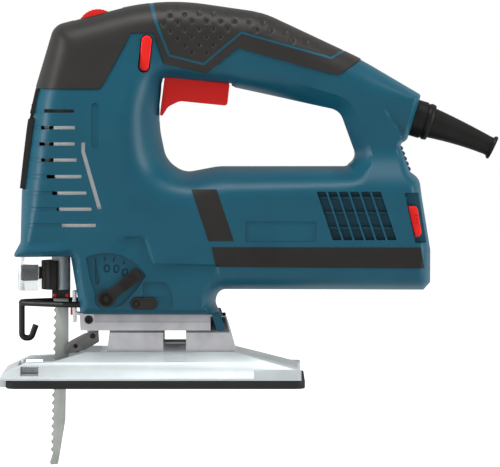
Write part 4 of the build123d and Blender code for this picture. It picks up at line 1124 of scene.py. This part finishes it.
def orbit_lever():
    """Lever with a dished hub and a ribbed arm."""
    back, top = -POCKET_FLOOR - 0.15, -32.2
    arm = rounded([(0, -3.0, 0.5), (8, -2.7, 4), (13, -3.2, 6), (22.3, -3.35, 0.9), (22.3, 3.35, 0.9),
                   (13, 3.2, 6), (8, 2.7, 4), (0, 3.0, 0.5)], 0.7)[0]
    lever = rod("orbit_lever_knob", 4.6, top - 0.35, back, ORBIT_X, ORBIT_Z, 56)
    fuse(lever, prism("arm", turned(arm, ORBIT_X, ORBIT_Z, ORBIT_ANGLE), top, back + 0.01))
    cut(lever, rod("dish", 3.55, top - 2, top + 1.1, ORBIT_X, ORBIT_Z, 40))
    soften(lever, 0.4, 3, 45)
    pin = rod("pin", 2.5, top + 1.0, -23.5, ORBIT_X, ORBIT_Z)
    boss = soften(rod("boss", 1.7, top + 0.5, back, ORBIT_X, ORBIT_Z), 0.3)
    lever = joined("orbit_lever_knob", [lever, pin, boss])
    place(lever, "orbit_lever", "dark_plastic", "orbit_lever")
    rib = soften(prism("rib", capsule_loop(-2.1, 0, 2.1, 0, 0.3, 6), -0.35, 0.3), 0.15, 2, 50)
    along = [(distance, 0) for distance in np.arange(10.4, 19.6, 1.3)]
    rows = [(x, top, z) for x, z in turned(along, ORBIT_X, ORBIT_Z, ORBIT_ANGLE)]
    ribs = spread("orbit_lever_ribs", rib, rows, "dark_plastic", (0, math.radians(90 - ORBIT_ANGLE), 0))
    place(ribs, "orbit_lever", "dark_plastic")


def blower_slider():
    back, top = -POCKET_FLOOR - 0.15, -31.7
    bar = prism("blower_slider_knob", capsule_loop(41.2, 44.6, 48.8, 44.6, 3.2, 16), top, back)
    cut(bar, rod("eye", 1.9, top - 1, top + 0.6, 41.0, 44.6))
    soften(bar, 0.6, 3, 50)
    disc = soften(rod("disc", 1.35, top + 0.15, back - 0.5, 41.0, 44.6), 0.25)
    stem = block("stem", 43, 47, back - 0.5, -23, 43.4, 45.8)
    place(joined("blower_slider_knob", [bar, disc, stem]), "blower_slider", "dark_plastic", "blower_slider")


def key_clip():
    """Red clip in the rear notch, with finger grooves on its face."""
    side = corners([(184.0, 96.2), (188.4, 96.2), (189.3, 94.8), (191.5, 82.2), (190.4, 80.4),
                    (188.0, 79.6)], 0.6)
    clip = soften(prism("key_clip_tab", side, -30.6, -25.3), 0.6, 3, 40)
    for down in (0.0, 2.0, 4.0):
        z = 91.5 - down
        groove = capsule_loop(186.4 + 0.23 * down, z, 189.0 + 0.12 * down, z, 0.4)
        cut(clip, prism("groove", groove, -32, -30.25))
    place(clip, "key_clip", "red_plastic", "key_clip")


for make in (trigger, lock_button, speed_dial, eject_lever, orbit_lever, blower_slider, key_clip):
    make()


# Cord sleeve
SLEEVE_START = (187.5, 142.5)
SLEEVE_LENGTH = 46.4
SLEEVE_ANGLES = (-16.0, -26.0)
SLEEVE_SIDES = 48
SLEEVE_PROFILE = [
    (-5, 3.7), (-5, 6.9), (-1.7, 6.9), (-1.6, 9.4), (-1.0, 9.9), (6.2, 9.9), (6.7, 9.3), (7.2, 9.3),
    (7.5, 9.7), (8.2, 9.9), (10.0, 9.7), (10.6, 9.2), (10.8, 8.1), (14, 7.75), (20, 7.1), (26, 6.5),
    (32, 5.95), (38, 5.45), (43.2, 5.1), (44.2, 5.25), (44.7, 6.1), (45.2, 6.45), (46.0, 6.45),
    (46.4, 6.1), (46.4, 4.2), (46.0, 3.7),
]


def cord_sleeve():
    """Rubber bend sleeve, turned about an axis that droops a little."""
    def lean(along):
        share = np.clip(along / SLEEVE_LENGTH, 0, 1)
        return np.radians(SLEEVE_ANGLES[0] + (SLEEVE_ANGLES[1] - SLEEVE_ANGLES[0]) * share)

    ring = np.linspace(0, 2 * math.pi, SLEEVE_SIDES, endpoint=False)
    verts = []
    for along, radius in SLEEVE_PROFILE:
        run = lean(along * (np.arange(40) + 0.5) / 40)
        x = SLEEVE_START[0] + along * np.cos(run).mean()
        z = SLEEVE_START[1] + along * np.sin(run).mean()
        turn = lean(along)
        for angle in ring:
            up = radius * math.sin(angle)
            verts.append((x - up * math.sin(turn), radius * math.cos(angle), z + up * math.cos(turn)))
    index = np.arange(len(verts)).reshape(len(SLEEVE_PROFILE), SLEEVE_SIDES)
    after = np.roll(index, -1, axis=0)
    corner = [index, np.roll(index, -1, axis=1), np.roll(after, -1, axis=1), after]
    faces = np.stack(corner, axis=2).reshape(-1, 4)
    sleeve = outward(new_piece("cord_sleeve_rubber", verts, faces))
    place(sleeve, "housing", "grip_rubber", "cord_sleeve", look="sleeve_rubber", angle=38)


cord_sleeve()


# Pieces that follow their CAD solids
def copy_of(node, name):
    """Copy of a CAD solid, with its flat faces made whole again."""
    work = bmesh.new()
    work.from_mesh(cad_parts[node].data)
    bmesh.ops.remove_doubles(work, verts=work.verts, dist=2e-6)
    bmesh.ops.dissolve_limit(work, angle_limit=math.radians(0.4), verts=work.verts, edges=work.edges)
    work.verts.index_update()
    verts = np.array([tuple(v.co) for v in work.verts]) / MM
    faces = [[v.index for v in face.verts] for face in work.faces]
    work.free()
    return new_piece(name, verts, faces)


def dress(node, name, body, slot, width, angle=35, look=None):
    """Copy of a CAD solid with its edges rounded."""
    place(soften(copy_of(node, name), width, 3, angle), body, slot, node, look=look, angle=35)


def base_rail():
    """Cast rail under the head: its sides are set back above a ledge, and its front corner is round."""
    rail = copy_of("base_rail", "base_rail_cast")
    for side in (-1, 1):
        low, high = side_span(side, 20.2, 30)
        cut(rail, prism("recess", [(18.6, 34.3), (90, 34.3), (90, 45), (18.6, 45)], low, high))
        cut(rail, prism("corner", [(0, 20), (12.2, 20), (10.9, 32), (10.4, 45), (0, 45)], low - 30, high + 30))
    place(soften(rail, 0.35, 3, 40), "housing", "cast_metal", "base_rail")


def rear_wedges():
    """Blue corners of the housing behind the rail, each with a small dark stop."""
    outline = corners([(80.2, 39.3), (85.2, 39.3), (87.4, 31.6), (86.8, 29.2), (83.6, 29.2)], 0.5)
    for side, word in SIDES:
        wedge = prism("rear_wedge_" + word, outline, *side_span(side, 12, 21.2))
        cut(wedge, rod("arch", 36.5, 60, 110, 0, 0, 96, "X"))
        place(soften(wedge, 0.3, 2, 45), "housing", "blue_body")
        stop = soften(block("rear_stop_" + word, 86, 87.9, *side_span(side, 17, 20.4), 33.9, 36.8), 0.35)
        place(stop, "housing", "dark_plastic")


def release_bar():
    bar = soften(block("release_slide_bar", -20.9, -10.6, -3.5, 3.5, 56, 62.6), 0.5)
    place(bar, "housing", "dark_plastic", "release_slide")


BLADE_FRONT = [(-4.0, 50.2), (-4.0, 44.8), (-4.6, 18.0), (-5.1, -3.3), (-6.0, -40.0)]
BLADE_BACK = [(-1.9, -43.2), (-1.4, -41.0), (2.2, -19.5), (2.5, -2.4), (3.6, 9.0), (3.95, 16.0), (3.95, 50.2)]
TOOTH_PITCH = 4.15
TOOTH_DEPTH = 1.45


def blade():
    """Saw blade that leans forward, with hooked teeth down its front edge."""
    front = np.array(BLADE_FRONT)
    points = [(-4.0, 50.2)]
    for z in np.arange(43.6, -39.0, -TOOTH_PITCH):
        levels = (z, z - 0.45 * TOOTH_PITCH, z - 0.8 * TOOTH_PITCH)
        edge = [np.interp(-level, -front[:, 1], front[:, 0]) for level in levels]
        points += [(edge[0], z), (edge[1] + TOOTH_DEPTH, z - 0.42 * TOOTH_PITCH),
                   (edge[2] + 0.75 * TOOTH_DEPTH, z - 0.7 * TOOTH_PITCH)]
    points += [(-6.2, -42.4), (-5.6, -43.5)] + BLADE_BACK
    place(soften(prism("saw_blade", points, -0.62, 0.62), 0.12, 2, 40), "plunger", "blade_steel", "blade")
    strip = soften(block("guide_marker", 5.0, 6.2, -0.9, 0.9, 36.8, 42.4), 0.25)
    place(strip, "housing", "red_plastic")
    dots = [soften(rod("dot", 1.0, -4.6, 4.6, x, 47.6, 20), 0.3) for x in (-3.2, 3.4)]
    place(joined("clamp_marker", dots), "plunger", "red_plastic")


for make in (base_rail, rear_wedges, release_bar, blade):
    make()
for row in (
    ("foot_saddle", "foot_saddle_cast", "foot", "cast_metal", 0.45),
    ("foot_casting", "foot_casting_cast", "foot", "foot_metal", 0.45),
    ("sole_plate", "sole_plate_moulded", "foot", "sole_plastic", 0.7),
    ("guide_bracket", "guide_bracket_plate", "housing", "steel", 0.3),
    ("roller_arm", "roller_arm_forged", "roller_arm", "black_steel", 0.35, 35, "forged_steel"),
    ("clear_guard", "clear_guard_shield", "housing", "clear_plastic", 0.35),
    ("blade_clamp", "blade_clamp_block", "plunger", "black_steel", 0.3),
    ("clamp_collar", "clamp_collar_ring", "collar", "dark_plastic", 0.25, 50),
):
    dress(*row)


# Studio
FLOOR_Z = -60.0
FLOOR_HALF = 3000.0
PAPER = {"Base Color": (0.86, 0.86, 0.86, 1), "Roughness": 0.9, "Specular IOR Level": 0.1}
SOFT_LIGHT = 0.12
SENSOR = 36.0

# Name, place, aim, size and power of each lamp
LAMPS = (
    ("right", (1250, -260, 400), (100, 0, 110), (400, 800), 11.0),
    ("left", (-1000, -300, 380), (30, 0, 100), (360, 800), 11.0),
    ("above", (60, -220, 1150), (80, 0, 110), (800, 400), 9.6),
    ("facing", (-150, -1500, 500), (70, 0, 90), (900, 900), 1.2),
)


def seen_white(tree):
    """One for rays that show the background itself: to the camera, in reflections and through clear parts."""
    rays = tree.nodes.new("ShaderNodeLightPath")
    total = rays.outputs["Is Camera Ray"]
    for name in ("Is Glossy Ray", "Is Transmission Ray"):
        either = add_node(tree, "ShaderNodeMath", "MAXIMUM")
        wire(tree, (total, either.inputs[0]), (rays.outputs[name], either.inputs[1]))
        total = either.outputs[0]
    return total


def paper_floor():
    """Pale floor that reads as white paper and keeps the object's shadow."""
    rim = [(x * FLOOR_HALF, y * FLOOR_HALF, FLOOR_Z) for x, y in ((-1, -1), (1, -1), (1, 1), (-1, 1))]
    floor = new_piece("floor", rim, [(0, 1, 2, 3)])
    paper = bpy.data.materials.new("paper")
    paper.use_nodes = True
    tree = paper.node_tree
    shader = tree.nodes["Principled BSDF"]
    for name, value in PAPER.items():
        shader.inputs[name].default_value = value
    where = add_node(tree, "ShaderNodeTexCoord")
    away = add_node(tree, "ShaderNodeVectorMath", "LENGTH")
    shown = add_node(tree, "ShaderNodeMath", "MULTIPLY")
    glow = add_node(tree, "ShaderNodeEmission")
    both = add_node(tree, "ShaderNodeAddShader")
    lift = ranged(tree, away.outputs["Value"], 0.5, 1.0, 0.25, 0.9)
    wire(tree, (where.outputs["Object"], away.inputs[0]), (lift, shown.inputs[0]),
         (seen_white(tree), shown.inputs[1]), (shown.outputs[0], glow.inputs["Strength"]),
         (shader.outputs[0], both.inputs[0]), (glow.outputs[0], both.inputs[1]),
         (both.outputs[0], tree.nodes["Material Output"].inputs["Surface"]))
    floor.data.materials.append(paper)


def aimed(name, data, spot, aim):
    """Lamp or camera at one point in millimetres, turned towards another."""
    obj = bpy.data.objects.new(name, data)
    bpy.context.collection.objects.link(obj)
    spot, aim = Vector(spot), Vector(aim)
    turn = (aim - spot).to_track_quat("-Z", "Y").to_matrix().to_4x4()
    obj.matrix_world = Matrix.Translation(spot * MM) @ turn
    return obj


def studio():
    """Soft light and the photograph's long-lens side view."""
    paper_floor()
    scene = bpy.context.scene
    scene.world = bpy.data.worlds.new("studio")
    scene.world.use_nodes = True
    tree = scene.world.node_tree
    tree.nodes.clear()
    white = (1, 1, 1, 1)
    soft, seen = (add_node(tree, "ShaderNodeBackground", Color=white, Strength=strength)
                  for strength in (SOFT_LIGHT, 1.0))
    mix = tree.nodes.new("ShaderNodeMixShader")
    result = tree.nodes.new("ShaderNodeOutputWorld")
    wire(tree, (seen_white(tree), mix.inputs[0]), (soft.outputs[0], mix.inputs[1]),
         (seen.outputs[0], mix.inputs[2]), (mix.outputs[0], result.inputs["Surface"]))

    for name, spot, aim, size, power in LAMPS:
        lamp = bpy.data.lights.new(name, "AREA")
        lamp.shape = "RECTANGLE"
        lamp.size, lamp.size_y = size[0] * MM, size[1] * MM
        lamp.energy = power
        aimed(name, lamp, spot, aim)

    camera = bpy.data.cameras.new("photo_camera")
    camera.sensor_width = SENSOR
    camera.lens = SENSOR * CAMERA_DISTANCE / (PHOTO_WIDTH * MM_PER_PIXEL)
    camera.clip_end = 20.0
    across, up = PHOTO_WIDTH / 2 - BLADE_PIXEL_X, SOLE_PIXEL_Y - PHOTO_HEIGHT / 2
    aim = Vector((across * MM_PER_PIXEL, 0, up * MM_PER_PIXEL))
    rise = math.radians(CAMERA_ELEVATION)
    spot = aim + CAMERA_DISTANCE * Vector((0, -math.cos(rise), math.sin(rise)))
    scene.camera = aimed("photo_camera", camera, spot, aim)
    scene.view_settings.view_transform = "Standard"


studio()
